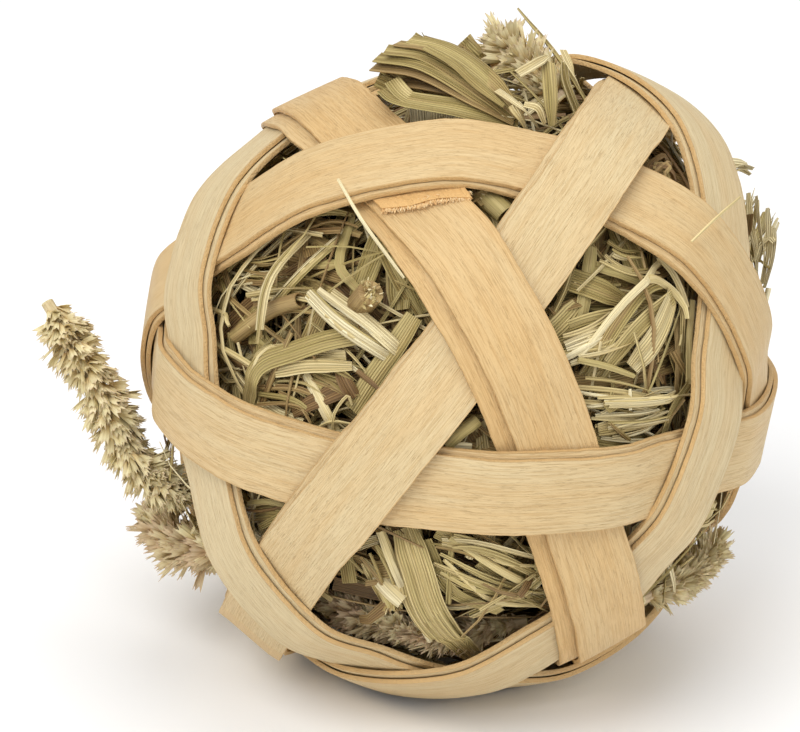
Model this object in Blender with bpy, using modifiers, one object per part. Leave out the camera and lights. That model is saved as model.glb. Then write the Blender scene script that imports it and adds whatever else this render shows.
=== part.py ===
# Ball woven from six wood-veneer strips around a wad of meadow hay.
# Metres, +Z up. The origin is the middle of the ball, which stands on one of its five-sided openings.

import math

import bmesh
import bpy
from mathutils import Matrix, Vector, noise

millimetre = 0.001

# Sizes of the weave
weave_radius = 0.048            # ball's centre to the middle of the layers at a crossing
strip_width = 0.0115
veneer_thickness = 0.00075
layer_gap = 0.0005              # air between two layers of veneer that lie on each other
hidden_end_length = 0.004       # what a strip's hidden end runs on beyond the crossing that covers it
seen_end_length = 0.0092        # the first strip's cut end shows just past the strip that covers it
loose_end_length = 0.0125       # the second strip's cut end stands straight out past its cover
first_pole_longitude = 17.0     # degrees; the other tilted strips follow at fifths of a turn

# How the ball stands
flat_depth = 0.0006             # how far the floor presses small flats into its lowest edges
settle_tilt = 1.58              # degrees that the loose weave leans as it settles on those edges
settle_heading = -19.4          # degrees; the way that its top leans

# The hand-wound ball is a little out of round, seen along the line of sight of the photograph: waves of
# so many to the turn, with their swing in millimetres and the place of their crest in degrees.
sight_elevation = 23.63
sight_roll = 4.31
out_of_round = ((2, 1.55, 51), (3, 1.05, 38), (4, 0.8, -43))

# Sizes of the hay
clearance = 0.0003              # between pieces that touch in the real ball
straw_diameter = 0.0020
thin_stem_diameter = 0.0012
blade_thickness = 0.0006
blade_rib = 0.0005              # height of the fold along a blade
far_blade_width = 0.0040
wad_room = 0.0027               # depth kept between the wad and the weave for stalks to lie in
wad_swell = 0.0026              # how far the wad swells into an opening of the weave
wad_lump = 0.0007               # unevenness of the wad
wad_reach = 0.0072              # how far round a stalk the wad is pressed in
rise_per_width = 0.75           # how steeply a stalk comes up from under a strip's edge

# Shares and steps that shape the pieces
most_level_share = 0.8          # share of the way between two crossings where a strip stays level
change_over_span = 60.0         # degrees in which a strip moves over from beside its inner turn
course_step = 0.02              # radians looked ahead and behind for a strip's heading
same_place = 0.2                # two crossings nearer than this share of the radius are the same one
closing_steps = 8               # rounds of closing in on a crossing
wad_grain = 5.0                 # lumps of the wad to the radius
stalk_step = 0.0055             # length of one straight stretch of a stalk
blade_tip_share = 0.55          # width of a blade's end beside its middle
head_rings = 14
head_sides = 6
head_fullness = 0.45            # how soon a seed head reaches its full girth, as a power
head_blunt_tip = 0.08           # share of its length that is missing at a seed head's tip
floret_depth = 0.24             # share of a seed head's radius that its florets stand in and out

layer_pitch = veneer_thickness + layer_gap
golden_tilt = math.atan(2.0)    # angle between any two of the six poles of the weave
deepest_layer = weave_radius - 2.0 * layer_pitch - veneer_thickness / 2.0
stalk_ceiling = deepest_layer - clearance
wad_radius = stalk_ceiling - wad_room
cutter_size = 4.0 * weave_radius
settled_name = "ball_as_it_settles"

# Each strip circles a pole of the weave. The hand of the weaver shows as a shift along the pole, in
# millimetres, and as waves of one, two and three to the turn: their swing in millimetres and the
# place of their crest in degrees from the strip's highest point. The inner turn lies beside the
# outer one by the sideways value. Ends says which covered crossing hides the strip's two ends, and
# tail is how far the outer one runs on beyond it.
strips = {
    "veneer_strip_1": {"fifth": 0, "way": 1, "ends": 0, "tail": seen_end_length,
                       "sideways": 2.6, "shift": -0.3, "waves": ((2.1, 98), (2.1, 57), (0.4, 50))},
    "veneer_strip_2": {"fifth": 2, "way": -1, "ends": 1, "tail": loose_end_length,
                       "sideways": -0.7, "shift": 0.3, "waves": ((1.1, 120), (1.6, 35), (0.3, 7))},
    "veneer_strip_3": {"fifth": None, "way": 1, "ends": 1, "tail": hidden_end_length,
                       "sideways": -0.9, "shift": 0.0, "waves": ((2.6, -130), (0.2, -77), (0.9, -57))},
    "veneer_strip_4": {"fifth": 1, "way": 1, "ends": 3, "tail": hidden_end_length,
                       "sideways": 0.8, "shift": -1.7, "waves": ((3.4, -124), (1.8, 3), (2.1, 18))},
    "veneer_strip_5": {"fifth": 4, "way": 1, "ends": 4, "tail": hidden_end_length,
                       "sideways": -1.2, "shift": 0.4, "waves": ((2.6, 155), (0.4, 10), (0.1, 49))},
    "veneer_strip_6": {"fifth": 3, "way": 1, "ends": 1, "tail": hidden_end_length,
                       "sideways": -1.2, "shift": 1.8, "waves": ((4.0, -151), (0.3, -89), (1.3, -59))},
}
springing_strip = "veneer_strip_2"   # its tail springs off the ball along a straight line

# Places of the stalks: longitude and latitude in degrees, millimetres outside the weave's radius.
# A straw is a round tube, a blade is flat and folded along its rib. Both dip under the strips they meet.
straws = {
    "thin_stem_1": (thin_stem_diameter, ((-143, 42, -4), (-147, 30, -1), (-146, 18, -1), (-134, 7, -4))),
    "straw_1": (straw_diameter, ((-136, 43, -4), (-134, 31, -0.5), (-130, 20, 0.4))),
    "straw_2": (straw_diameter, ((-124, 50, -5.5), (-129, 36, -3), (-135, 25, -3))),
    "straw_3": (straw_diameter, ((-124, 31, -0.5), (-113, 27, 0.6), (-98, 21, -5))),
    "straw_4": (straw_diameter, ((-33, 42, -5), (-37, 31, -3), (-40, 8, -5))),
    "straw_5": (straw_diameter, ((-63, 17, -0.8), (-54, 16, -0.4), (-44, 15, -0.8))),
    "straw_6": (straw_diameter, ((-64, -12, -3.4), (-72, -19, -2.2), (-86, -31, -3.6))),
    "stub_1": (0.0032, ((-118, 29, -6.5), (-110, 34, 0.5))),
    "stub_2": (0.0030, ((-106, -20, -6.5), (-100, -26, -2.4))),
    "stub_3": (0.0028, ((-77, 53, -6), (-89, 58, -2.5))),
}
blades = {
    "leaf_blade_1": (0.0042, ((-149, 25, -6), (-140, 28, -5.4), (-126, 28, -5.4))),
    "leaf_blade_2": (0.0036, ((-116, 47, -5), (-108, 41, -3), (-100, 33, -5))),
    "leaf_blade_3": (0.0046, ((-136, 11, -5), (-129, 18, -2), (-113, 22.5, -2))),
    "leaf_blade_4": (0.0045, ((-70, 8, -6.6), (-61, 23, -5.4), (-46, 32, -2.6))),
    "leaf_blade_5": (0.0036, ((-73, 43, -5), (-62, 38, -2.5), (-52, 34, -3.5))),
    "leaf_blade_6": (0.0052, ((-99, -6, -5.5), (-95, -22, -1.5), (-89, -34, -1.2), (-85, -42, -2.6))),
    "leaf_blade_7": (0.0030, ((-92, 9, -4.5), (-85, 16, -5))),
    "leaf_blade_8": (0.0040, ((-69, -17, -6.7), (-77, -17, -6.5), (-88, -12, -6.4))),
}
# Stalks that stand out through the openings of the weave, past its strips. The blades are rolled about
# their length by the degrees after their width.
loose_straws = {
    "thin_stem_2": (thin_stem_diameter, ((10, 69, -4), (36, 75, 1.8), (74, 74, 8))),
    "straw_7": (straw_diameter, ((0, 71, -5), (14, 75, -1), (20, 76, 2))),
}
loose_blades = {
    "fan_blade_1": (0.0047, 65, ((126, 82.4, -8), (-130, 80.5, -1.5), (-159, 71.6, 5))),
    "fan_blade_2": (0.0042, 65, ((82, 79.2, -8.4), (170, 85.7, -1), (177, 77, 6))),
    "fan_blade_3": (0.0043, 65, ((66, 73, -8.6), (94, 81.4, -1.3), (130, 79.4, 7))),
    "tuft_blade_1": (0.0046, 80, ((23, 17.5, -3.6), (22.5, 19.5, 0.5), (26, 23, 5))),
    "tuft_blade_2": (0.0046, 80, ((32, 19, -3), (31, 19.5, 1.2), (34.5, 22, 6))),
}
# Seed heads: widest diameter, then places from the tip to the root.
seed_heads = {
    "seed_head_left": (0.0078, ((-178, 5.2, 17), (-173.5, -1, 11.6), (-171.4, -9, 8),
                                (-168, -18, 4.2), (-163, -25, -1.6))),
    "seed_head_low_left": (0.0092, ((-177, -30, 5.8), (-169, -35.2, 2.9), (-159.5, -38, -3.4))),
    "seed_head_top": (0.0086, ((86, 77, 4), (48, 78, -0.5), (20, 75, -3.5))),
    "seed_head_right": (0.0066, ((-6, -30, 1.8), (-13, -36, 0.6), (-25, -41, -2.6))),
    "seed_head_low": (0.0050, ((-121, -36, -7), (-106, -40, -7), (-90, -43, -7), (-70, -40, -7))),
}
# One straw and one blade fill each opening on the far sides, turned a little further each time.
far_openings = ((105, 27), (177, 27), (51, -27), (123, -27), (0, -90))
far_turn = 137.5                # degrees from one opening's stalks to the next one's
far_stalk_reach = 21.0          # degrees from the middle of the opening to a stalk's end
far_stalk_middle = -3.2         # millimetres outside the weave's radius at a stalk's middle
far_stalk_end = -5.4            # and at its ends
stalk_parting = 0.16            # how far the straw and the blade lie to their sides, as a share of the radius


# Geometry of the weave

def on_sphere(longitude, latitude, radius=1.0):
    east = math.radians(longitude)
    north = math.radians(latitude)
    level = radius * math.cos(north)
    return Vector((level * math.cos(east), level * math.sin(east), radius * math.sin(north)))


def strip_frame(strip):
    # The pole that the strip circles, the direction of its highest point, and the one beside both.
    if strip["fifth"] is None:
        pole = Vector((0.0, 0.0, 1.0))
        top = Vector((1.0, 0.0, 0.0))
    else:
        longitude = first_pole_longitude + 72.0 * strip["fifth"]
        pole = on_sphere(longitude, 90.0 - math.degrees(golden_tilt))
        top = (Vector((0.0, 0.0, 1.0)) - pole * pole.z).normalized()
    return pole, top, pole.cross(top)


def sway(strip, angle):
    # Sideways place of the strip's middle line at an angle round its pole.
    place = strip["shift"]
    for index, (swing, crest) in enumerate(strip["waves"]):
        place += swing * math.cos((index + 1) * (angle - math.radians(crest)))
    return place * millimetre


def strip_direction(strip, angle, aside=0.0):
    pole, top, side = strip_frame(strip)
    lean = (sway(strip, angle) + aside) / weave_radius
    return (top * math.cos(angle) + side * math.sin(angle) + pole * lean).normalized()


def angle_round(strip, direction):
    pole, top, side = strip_frame(strip)
    return math.atan2(direction.dot(side), direction.dot(top))


def crossing(strip, other, sign):
    # Where two strips' middle lines meet, found by closing in from the meeting of their planes.
    pole = strip_frame(strip)[0]
    other_pole = strip_frame(other)[0]
    normal = pole.cross(other_pole)
    both = pole.dot(other_pole)
    point = normal.normalized() * sign
    for step in range(closing_steps):
        heights = []
        for one in (strip, other):
            lean = sway(one, angle_round(one, point)) / weave_radius
            heights.append(lean / math.sqrt(1.0 + lean * lean))
        along = (heights[0] - both * heights[1]) / (1.0 - both * both)
        across = (heights[1] - both * heights[0]) / (1.0 - both * both)
        flat = pole * along + other_pole * across
        rest = math.sqrt(1.0 - flat.length_squared)
        point = flat + normal.normalized() * sign * rest
    return point


def heading(strip, point):
    angle = angle_round(strip, point)
    ahead = strip_direction(strip, angle + course_step)
    behind = strip_direction(strip, angle - course_step)
    return (ahead - behind).normalized()


def lies_over(strip, other, point):
    # Over and under alternate along every strip, and each crossing is reversed on the ball's far side.
    pole = strip_frame(strip)[0]
    other_pole = strip_frame(other)[0]
    return pole.dot(other_pole) * pole.cross(other_pole).dot(point) < 0.0


def crossings_along(name):
    # The ten crossings in the order in which the strip is wound, from its highest point on, each with
    # how far along the strip it reaches.
    strip = strips[name]
    found = []
    for other_name, other in strips.items():
        if other_name == name:
            continue
        for sign in (1.0, -1.0):
            point = crossing(strip, other, sign)
            meeting = abs(heading(strip, point).dot(heading(other, point)))
            reach = strip_width / 2.0 * math.sqrt((1.0 + meeting) / (1.0 - meeting))
            reach += (abs(strip["sideways"]) + abs(other["sideways"])) * millimetre / 4.0
            found.append({"angle": (strip["way"] * angle_round(strip, point)) % math.tau,
                          "other": other_name, "point": point, "reach": reach / weave_radius,
                          "over": lies_over(strip, other, point)})
    return sorted(found, key=lambda entry: entry["angle"])


crossing_table = {name: crossings_along(name) for name in strips}


def ends_crossing(name):
    covered = [entry for entry in crossing_table[name] if not entry["over"]]
    return covered[strips[name]["ends"]]


def layer_count(name, point):
    # A strip lies double, and threefold where its own two ends overlap.
    return 3 if (ends_crossing(name)["point"] - point).length < same_place else 2


def visits_along(name):
    # The crossings that the strip passes in its two turns, with the radius of its own layer there.
    order = crossing_table[name]
    first = order.index(ends_crossing(name))
    visits = []
    for step in range(2 * len(order) + 1):
        entry = order[(first + step) % len(order)]
        turn = step // len(order)
        wraps = (first + step) // len(order)
        own = layer_count(name, entry["point"])
        others = layer_count(entry["other"], entry["point"])
        layer = turn + others if entry["over"] else turn
        middle = (own + others - 1) / 2.0
        visits.append({"angle": entry["angle"] + math.tau * wraps, "reach": entry["reach"],
                       "radius": weave_radius + (layer - middle) * layer_pitch})
    return visits


def winding(name):
    # Angles and layer radii along the strip, level at the crossings and sloping between them.
    visits = visits_along(name)
    path = [(visits[0]["angle"] - hidden_end_length / weave_radius, visits[0]["radius"])]
    for here, following in zip(visits, visits[1:]):
        span = following["angle"] - here["angle"]
        scale = min(1.0, most_level_share * span / (here["reach"] + following["reach"]))
        leave = here["angle"] + here["reach"] * scale
        arrive = following["angle"] - following["reach"] * scale
        path.append((here["angle"], here["radius"]))
        path.append(((here["angle"] + leave) / 2.0, here["radius"]))
        path.append((leave, here["radius"]))
        path.append(((leave + arrive) / 2.0, (here["radius"] + following["radius"]) / 2.0))
        path.append((arrive, following["radius"]))
        path.append(((arrive + following["angle"]) / 2.0, following["radius"]))
    last = visits[-1]
    path.append((last["angle"], last["radius"]))
    tail = strips[name]["tail"] / weave_radius
    if name == springing_strip:
        # The tail leaves the round a quarter of the way along it.
        path.append((last["angle"] + tail / 2.0, last["radius"] / math.cos(tail / 4.0)))
        path.append((last["angle"] + tail, last["radius"] / math.cos(tail * 0.75)))
    else:
        path.append((last["angle"] + tail, last["radius"]))
    middle_angle = visits[len(visits) // 2]["angle"]
    return path, middle_angle


# Room under and between the strips

def open_width(direction):
    # Distance along the sphere from a direction to the nearest strip's edge, negative under a strip.
    gaps = []
    for strip in strips.values():
        pole = strip_frame(strip)[0]
        middle = math.atan(sway(strip, angle_round(strip, direction)) / weave_radius)
        off = abs(math.asin(max(-1.0, min(1.0, direction.dot(pole)))) - middle)
        edge = (strip_width + abs(strip["sideways"]) * millimetre) / 2.0
        gaps.append(off * weave_radius - edge)
    return min(gaps)


def tuck(path, half_depth, half_width):
    # Lowers the points of a stalk as far as the strips above it need.
    tucked = []
    for point in path:
        direction = point.normalized()
        free = max(0.0, open_width(direction) - half_width - clearance)
        ceiling = stalk_ceiling - half_depth + rise_per_width * free
        tucked.append(direction * min(point.length, ceiling))
    return tucked


def pressed(point):
    # Where a point of the round ball lies once the ball is as much out of round as the photograph's.
    direction = point.normalized()
    rise = math.radians(sight_elevation)
    roll = math.radians(sight_roll)
    level_right = direction.x
    level_up = direction.y * math.sin(rise) + direction.z * math.cos(rise)
    right = level_right * math.cos(roll) + level_up * math.sin(roll)
    up = level_up * math.cos(roll) - level_right * math.sin(roll)
    swell = 0.0
    for count, swing, crest in out_of_round:
        turn = math.atan2(up, right) - math.radians(crest)
        swell += swing * math.hypot(right, up) ** count * math.cos(count * turn)
    return point * (1.0 + swell * millimetre / weave_radius)


# Building blocks

def smooth_path(points):
    # A smooth curve through the points, in stretches of about one step.
    padded = [points[0] * 2.0 - points[1]] + list(points) + [points[-1] * 2.0 - points[-2]]
    path = []
    for index in range(1, len(padded) - 2):
        before, start, end, after = padded[index - 1:index + 3]
        stretches = max(1, round((end - start).length / stalk_step))
        for part in range(stretches):
            t = part / stretches
            path.append(0.5 * (2.0 * start + (end - before) * t
                               + (2.0 * before - 5.0 * start + 4.0 * end - after) * t ** 2
                               + (3.0 * start - before - 3.0 * end + after) * t ** 3))
    path.append(points[-1].copy())
    return path


def stalk_path(places):
    return smooth_path([on_sphere(longitude, latitude, weave_radius + outside * millimetre)
                        for longitude, latitude, outside in places])


def make_material(name, colour, roughness):
    material = bpy.data.materials.new(name)
    material.use_nodes = True
    shader = material.node_tree.nodes["Principled BSDF"]
    shader.inputs["Base Color"].default_value = (*colour, 1.0)
    shader.inputs["Roughness"].default_value = roughness
    shader.inputs["Metallic"].default_value = 0.0
    return material


def add_settled_empty(collection):
    # Carries every piece, leaning as the ball does once it has settled.
    empty = bpy.data.objects.new(settled_name, None)
    lean = math.radians(settle_heading)
    axis = Vector((-math.sin(lean), math.cos(lean), 0.0))
    empty.rotation_euler = Matrix.Rotation(math.radians(settle_tilt), 3, axis).to_euler()
    collection.objects.link(empty)


def add_object(name, data, material, collection):
    made = bpy.data.objects.new(name, data)
    data.materials.append(material)
    collection.objects.link(made)
    made.parent = bpy.data.objects[settled_name]
    return made


def mesh_from(builder, name):
    data = bpy.data.meshes.new(name)
    builder.to_mesh(data)
    builder.free()
    return data


def flat_band(name, length_steps, width_steps, place):
    # A flat grid whose points are laid along a course by place(step, side).
    builder = bmesh.new()
    bmesh.ops.create_grid(builder, x_segments=length_steps, y_segments=width_steps, size=0.5)
    for vertex in builder.verts:
        step = round((vertex.co.x + 0.5) * length_steps)
        side = vertex.co.y * 2.0
        vertex.co = place(step, side)
    return mesh_from(builder, name)


def thicken(target, thickness):
    wall = target.modifiers.new("thickness", "SOLIDIFY")
    wall.thickness = thickness
    wall.offset = 0.0
    wall.use_rim = True


def course_frame(path, index):
    # The direction that faces outward and the one across the course, at one of its points.
    ahead = path[min(index + 1, len(path) - 1)] - path[max(index - 1, 0)]
    across = ahead.cross(path[index].normalized())
    if across.length < 0.15 * ahead.length:
        across = ahead.cross(Vector((0.0, 0.0, 1.0)))
    across.normalize()
    return across.cross(ahead).normalized(), across


# The pieces

def veneer_strip(name, material, collection):
    strip = strips[name]
    path, middle_angle = winding(name)

    def place(step, side):
        angle, radius = path[step]
        share = max(0.0, min(1.0, (angle - middle_angle) / math.radians(change_over_span) + 0.5))
        aside = strip["sideways"] * millimetre * (share - 0.5)
        around = strip["way"] * angle
        here = strip_direction(strip, around, aside)
        ahead = strip_direction(strip, around + course_step, aside)
        behind = strip_direction(strip, around - course_step, aside)
        across = (ahead - behind).cross(here).normalized()
        return pressed(here * radius + across * (side * strip_width / 2.0))

    made = add_object(name, flat_band(name, len(path) - 1, 1, place), material, collection)
    thicken(made, veneer_thickness)
    return made


def straw(name, diameter, path, material, collection):
    data = bpy.data.curves.new(name, "CURVE")
    data.dimensions = "3D"
    data.bevel_depth = diameter / 2.0
    data.bevel_resolution = 0 if diameter < straw_diameter else 1
    data.use_fill_caps = True
    line = data.splines.new("POLY")
    line.points.add(len(path) - 1)
    for point, place in zip(line.points, path):
        point.co = (*pressed(place), 1.0)
    add_object(name, data, material, collection)


def blade(name, width, path, material, collection, turn=0.0):
    # The turn rolls the blade about its length, in degrees from lying flat on the ball.
    count = len(path) - 1
    roll = math.radians(turn)

    def place(step, side):
        outward, across = course_frame(path, step)
        level = across * math.cos(roll) + outward * math.sin(roll)
        upright = outward * math.cos(roll) - across * math.sin(roll)
        middle_share = math.sin(math.pi * (step + 1.0) / (count + 2.0))
        taper = blade_tip_share + (1.0 - blade_tip_share) * middle_share
        rib = blade_rib * (1.0 - abs(side))
        return pressed(path[step]) + level * (side * taper * width / 2.0) + upright * rib

    made = add_object(name, flat_band(name, count, 2, place), material, collection)
    thicken(made, blade_thickness)


def seed_head(name, diameter, path, material, collection):
    # A long ball drawn out along its stem, with its points set in and out by turns as florets.
    builder = bmesh.new()
    bmesh.ops.create_uvsphere(builder, u_segments=head_sides, v_segments=head_rings, radius=1.0)
    for vertex in builder.verts:
        ring = round(math.acos(max(-1.0, min(1.0, vertex.co.z))) / math.pi * head_rings)
        turn = math.atan2(vertex.co.y, vertex.co.x)
        position = ring / head_rings * (len(path) - 1)
        index = min(int(position), len(path) - 2)
        middle = path[index].lerp(path[index + 1], position - index)
        outward, across = course_frame(path, round(position))
        girth = 0.0
        if 0 < ring < head_rings:
            along = head_blunt_tip + (1.0 - head_blunt_tip) * ring / head_rings
            parity = (ring + round(turn / math.tau * head_sides)) % 2
            girth = diameter / 2.0 * math.sin(math.pi * along) ** head_fullness
            girth *= 1.0 - floret_depth * parity
        vertex.co = pressed(middle) + (across * math.cos(turn) + outward * math.sin(turn)) * girth
    add_object(name, mesh_from(builder, name), material, collection)


def hay_wad(courses, material, collection):
    # The hidden mass of hay: a lumpy ball that swells into the openings and gives way under stalks.
    builder = bmesh.new()
    bmesh.ops.create_icosphere(builder, subdivisions=4, radius=1.0)
    for vertex in builder.verts:
        direction = vertex.co.normalized()
        free = max(0.0, open_width(direction) - clearance)
        distance = wad_radius + min(wad_swell, free * rise_per_width)
        distance += wad_lump * (noise.noise(direction * wad_grain) - 0.5)
        for path, half_depth, half_width in courses:
            for point in path:
                here = direction * point.length
                if (here - point).length < wad_reach + half_width:
                    distance = min(distance, point.length - half_depth - clearance - wad_lump / 2.0)
        vertex.co = pressed(direction * distance)
    add_object("hay_wad", mesh_from(builder, "hay_wad"), material, collection)


def add_floor_cutter(made_strips, collection):
    # Everything below the floor plane is cut away; the plane lies just above the strips' lowest point.
    bpy.context.view_layer.update()
    lowest = min((made.matrix_world @ vertex.co).z for made in made_strips for vertex in made.data.vertices)
    floor_level = lowest - veneer_thickness / 2.0 + flat_depth
    middle = (0.0, 0.0, floor_level - cutter_size / 2.0)
    bpy.ops.mesh.primitive_cube_add(size=cutter_size, location=middle)
    cutter = bpy.context.active_object
    cutter.name = "floor_cutter"
    cutter.hide_render = True
    cutter.display_type = "WIRE"
    for home in list(cutter.users_collection):
        home.objects.unlink(cutter)
    collection.objects.link(cutter)
    return cutter


def cut_flat(target, cutter):
    cut = target.modifiers.new("flat spot", "BOOLEAN")
    cut.operation = "DIFFERENCE"
    cut.solver = "EXACT"
    cut.object = cutter


def far_stalk_paths(index):
    # The straw's and the blade's course across one opening that the front doesn't show.
    longitude, latitude = far_openings[index]
    middle = on_sphere(longitude, latitude)
    east = on_sphere(longitude + 90.0, 0.0)
    north = middle.cross(east)
    turned = math.radians(far_turn * index)
    along = east * math.cos(turned) + north * math.sin(turned)
    beside = middle.cross(along)
    reach = math.tan(math.radians(far_stalk_reach))
    end_distance = weave_radius + far_stalk_end * millimetre
    middle_distance = weave_radius + far_stalk_middle * millimetre
    paths = []
    for aside in (-stalk_parting, stalk_parting):
        crest = middle + beside * aside
        start = (crest - along * reach).normalized() * end_distance
        end = (crest + along * reach).normalized() * end_distance
        paths.append(smooth_path([start, crest.normalized() * middle_distance, end]))
    return paths


def build():
    for old in list(bpy.data.objects):
        bpy.data.objects.remove(old, do_unlink=True)
    parts = bpy.data.collections.new("woven_hay_ball")
    cutters = bpy.data.collections.new("cutters")
    for collection in (parts, cutters):
        bpy.context.scene.collection.children.link(collection)

    veneer = make_material("pale_veneer", (0.74, 0.56, 0.34), 0.6)
    wad_hay = make_material("hay_in_shade", (0.22, 0.18, 0.09), 0.9)
    stem_hay = make_material("hay_stems", (0.55, 0.47, 0.24), 0.75)
    leaf_hay = make_material("hay_leaves", (0.45, 0.42, 0.24), 0.8)
    seed_hay = make_material("hay_seed_heads", (0.42, 0.34, 0.20), 0.9)

    add_settled_empty(parts)
    made_strips = {name: veneer_strip(name, veneer, parts) for name in strips}
    cutter = add_floor_cutter(made_strips.values(), cutters)
    for name, made in made_strips.items():
        if strips[name]["fifth"] is not None:
            cut_flat(made, cutter)

    # What the wad has to give way to: a course, with its half depth and half width.
    courses = []
    blade_depth = blade_rib + blade_thickness / 2.0

    def lay_straw(name, diameter, path):
        courses.append((path, diameter / 2.0, diameter / 2.0))
        straw(name, diameter, path, stem_hay, parts)

    def lay_blade(name, width, path, depth, turn=0.0):
        courses.append((path, depth, width / 2.0))
        blade(name, width, path, leaf_hay, parts, turn)

    for name, (diameter, places) in straws.items():
        lay_straw(name, diameter, tuck(stalk_path(places), diameter / 2.0, diameter / 2.0))
    for name, (width, places) in blades.items():
        lay_blade(name, width, tuck(stalk_path(places), blade_depth, width / 2.0), blade_depth)
    for index in range(len(far_openings)):
        straw_path, blade_path = far_stalk_paths(index)
        straw_path = tuck(straw_path, straw_diameter / 2.0, straw_diameter / 2.0)
        blade_path = tuck(blade_path, blade_depth, far_blade_width / 2.0)
        lay_straw(f"far_straw_{index + 1}", straw_diameter, straw_path)
        lay_blade(f"far_blade_{index + 1}", far_blade_width, blade_path, blade_depth)
    for name, (diameter, places) in loose_straws.items():
        lay_straw(name, diameter, stalk_path(places))
    for name, (width, turn, places) in loose_blades.items():
        lay_blade(name, width, stalk_path(places), width / 2.0, turn)
    for name, (diameter, places) in seed_heads.items():
        path = stalk_path(places)
        courses.append((path, diameter / 2.0, diameter / 2.0))
        seed_head(name, diameter, path, seed_hay, parts)
    hay_wad(courses, wad_hay, parts)


build()
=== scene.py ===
import math

import bpy
import numpy as np
from mathutils import Matrix, Vector


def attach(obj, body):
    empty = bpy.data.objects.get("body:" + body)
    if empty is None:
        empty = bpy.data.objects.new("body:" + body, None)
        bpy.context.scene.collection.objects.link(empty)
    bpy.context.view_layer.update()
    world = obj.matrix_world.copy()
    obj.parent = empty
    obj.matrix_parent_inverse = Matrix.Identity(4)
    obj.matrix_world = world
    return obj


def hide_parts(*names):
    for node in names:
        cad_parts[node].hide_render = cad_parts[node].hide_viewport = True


# Woven veneer ball: fine veneer, loose hay, seed heads, floor and light.
# Lengths are in millimetres until a mesh is filled; the middle of the ball is the origin.

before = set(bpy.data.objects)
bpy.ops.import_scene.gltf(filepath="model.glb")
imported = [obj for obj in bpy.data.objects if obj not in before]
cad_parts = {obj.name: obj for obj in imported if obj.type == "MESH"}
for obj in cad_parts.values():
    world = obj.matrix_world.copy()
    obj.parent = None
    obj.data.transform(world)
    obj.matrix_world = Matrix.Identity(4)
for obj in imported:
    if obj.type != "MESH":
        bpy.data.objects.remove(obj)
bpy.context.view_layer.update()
bpy.ops.object.select_all(action="DESELECT")
print("frame loaded:", len(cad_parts), "nodes")

metre = 0.001      # one millimetre in metres
random = np.random.default_rng(20)

# The weave, as the solids have it

weave = {
    "radius": 48.0, "width": 11.5, "thickness": 0.72, "pitch": 0.86, "hiddenEnd": 4.0,
    "firstPole": 17.0, "mostLevelShare": 0.8, "changeOver": 60.0, "courseStep": 0.02,
    "settleTilt": 1.58, "settleHeading": -19.4, "floorDepth": 46.53, "clearance": 0.15, "sameCrossing": 0.2,
    "outOfRound": ((2, 1.55, 51), (3, 1.05, 38), (4, 0.8, -43)),
}
strips = {
    "veneer_strip_1": {"fifth": 0, "way": 1, "ends": 0, "tail": 9.4, "sideways": 2.6, "shift": -0.3,
                       "waves": ((2.1, 98), (2.1, 57), (0.4, 50)), "tone": 0.85, "cutSlant": -3.0},
    "veneer_strip_2": {"fifth": 2, "way": -1, "ends": 1, "tail": 18.5, "sideways": -0.7, "shift": 0.3,
                       "waves": ((1.1, 120), (1.6, 35), (0.3, 7)), "tone": 0.35},
    "veneer_strip_3": {"fifth": None, "way": 1, "ends": 1, "tail": 4.0, "sideways": -0.9, "shift": 0.0,
                       "waves": ((2.6, -130), (0.2, -77), (0.9, -57)), "tone": 0.5},
    "veneer_strip_4": {"fifth": 1, "way": 1, "ends": 3, "tail": 4.0, "sideways": 0.8, "shift": -1.7,
                       "waves": ((3.4, -124), (1.8, 3), (2.1, 18)), "tone": 0.65},
    "veneer_strip_5": {"fifth": 4, "way": 1, "ends": 4, "tail": 4.0, "sideways": -1.2, "shift": 0.4,
                       "waves": ((2.6, 155), (0.4, 10), (0.1, 49)), "tone": 0.1},
    "veneer_strip_6": {"fifth": 3, "way": 1, "ends": 1, "tail": 4.0, "sideways": -1.2, "shift": 1.8,
                       "waves": ((4.0, -151), (0.3, -89), (1.3, -59)), "tone": 0.2},
}
springingStrip = "veneer_strip_2"
deepestLayer = weave["radius"] - 2 * weave["pitch"] - weave["thickness"] / 2
stalkCeiling = deepestLayer - weave["clearance"]

lean = math.radians(weave["settleHeading"])
leanAxis = Vector((-math.sin(lean), math.cos(lean), 0))
settle = Matrix.Rotation(math.radians(weave["settleTilt"]), 3, leanAxis)
settleArray = np.array(settle)


def onSphere(longitude, latitude, radius=1.0):
    east = math.radians(longitude)
    north = math.radians(latitude)
    return radius * np.array((math.cos(north) * math.cos(east), math.cos(north) * math.sin(east),
                              math.sin(north)))


def unit(vectors):
    return vectors / np.linalg.norm(vectors, axis=-1, keepdims=True)


def addPoles():
    # the pole that each strip circles, its highest point, and the direction beside both
    for strip in strips.values():
        pole = np.array((0.0, 0.0, 1.0))
        top = np.array((1.0, 0.0, 0.0))
        if strip["fifth"] is not None:
            pole = onSphere(weave["firstPole"] + 72.0 * strip["fifth"], 90.0 - math.degrees(math.atan(2)))
            top = unit(np.array((0.0, 0.0, 1.0)) - pole * pole[2])
        strip["pole"], strip["top"], strip["side"] = pole, top, np.cross(pole, top)


def swayAt(strip, angle):
    place = strip["shift"] + 0.0 * angle
    for index, (swing, crest) in enumerate(strip["waves"]):
        place = place + swing * np.cos((index + 1) * (angle - math.radians(crest)))
    return place


def directionAt(strip, angle, aside=0.0):
    angle = np.asarray(angle, float)
    tilt = (swayAt(strip, angle) + aside) / weave["radius"]
    return unit(strip["top"] * np.cos(angle)[..., None] + strip["side"] * np.sin(angle)[..., None]
                + strip["pole"] * tilt[..., None])


def angleRound(strip, direction):
    return np.arctan2(direction @ strip["side"], direction @ strip["top"])


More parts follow.
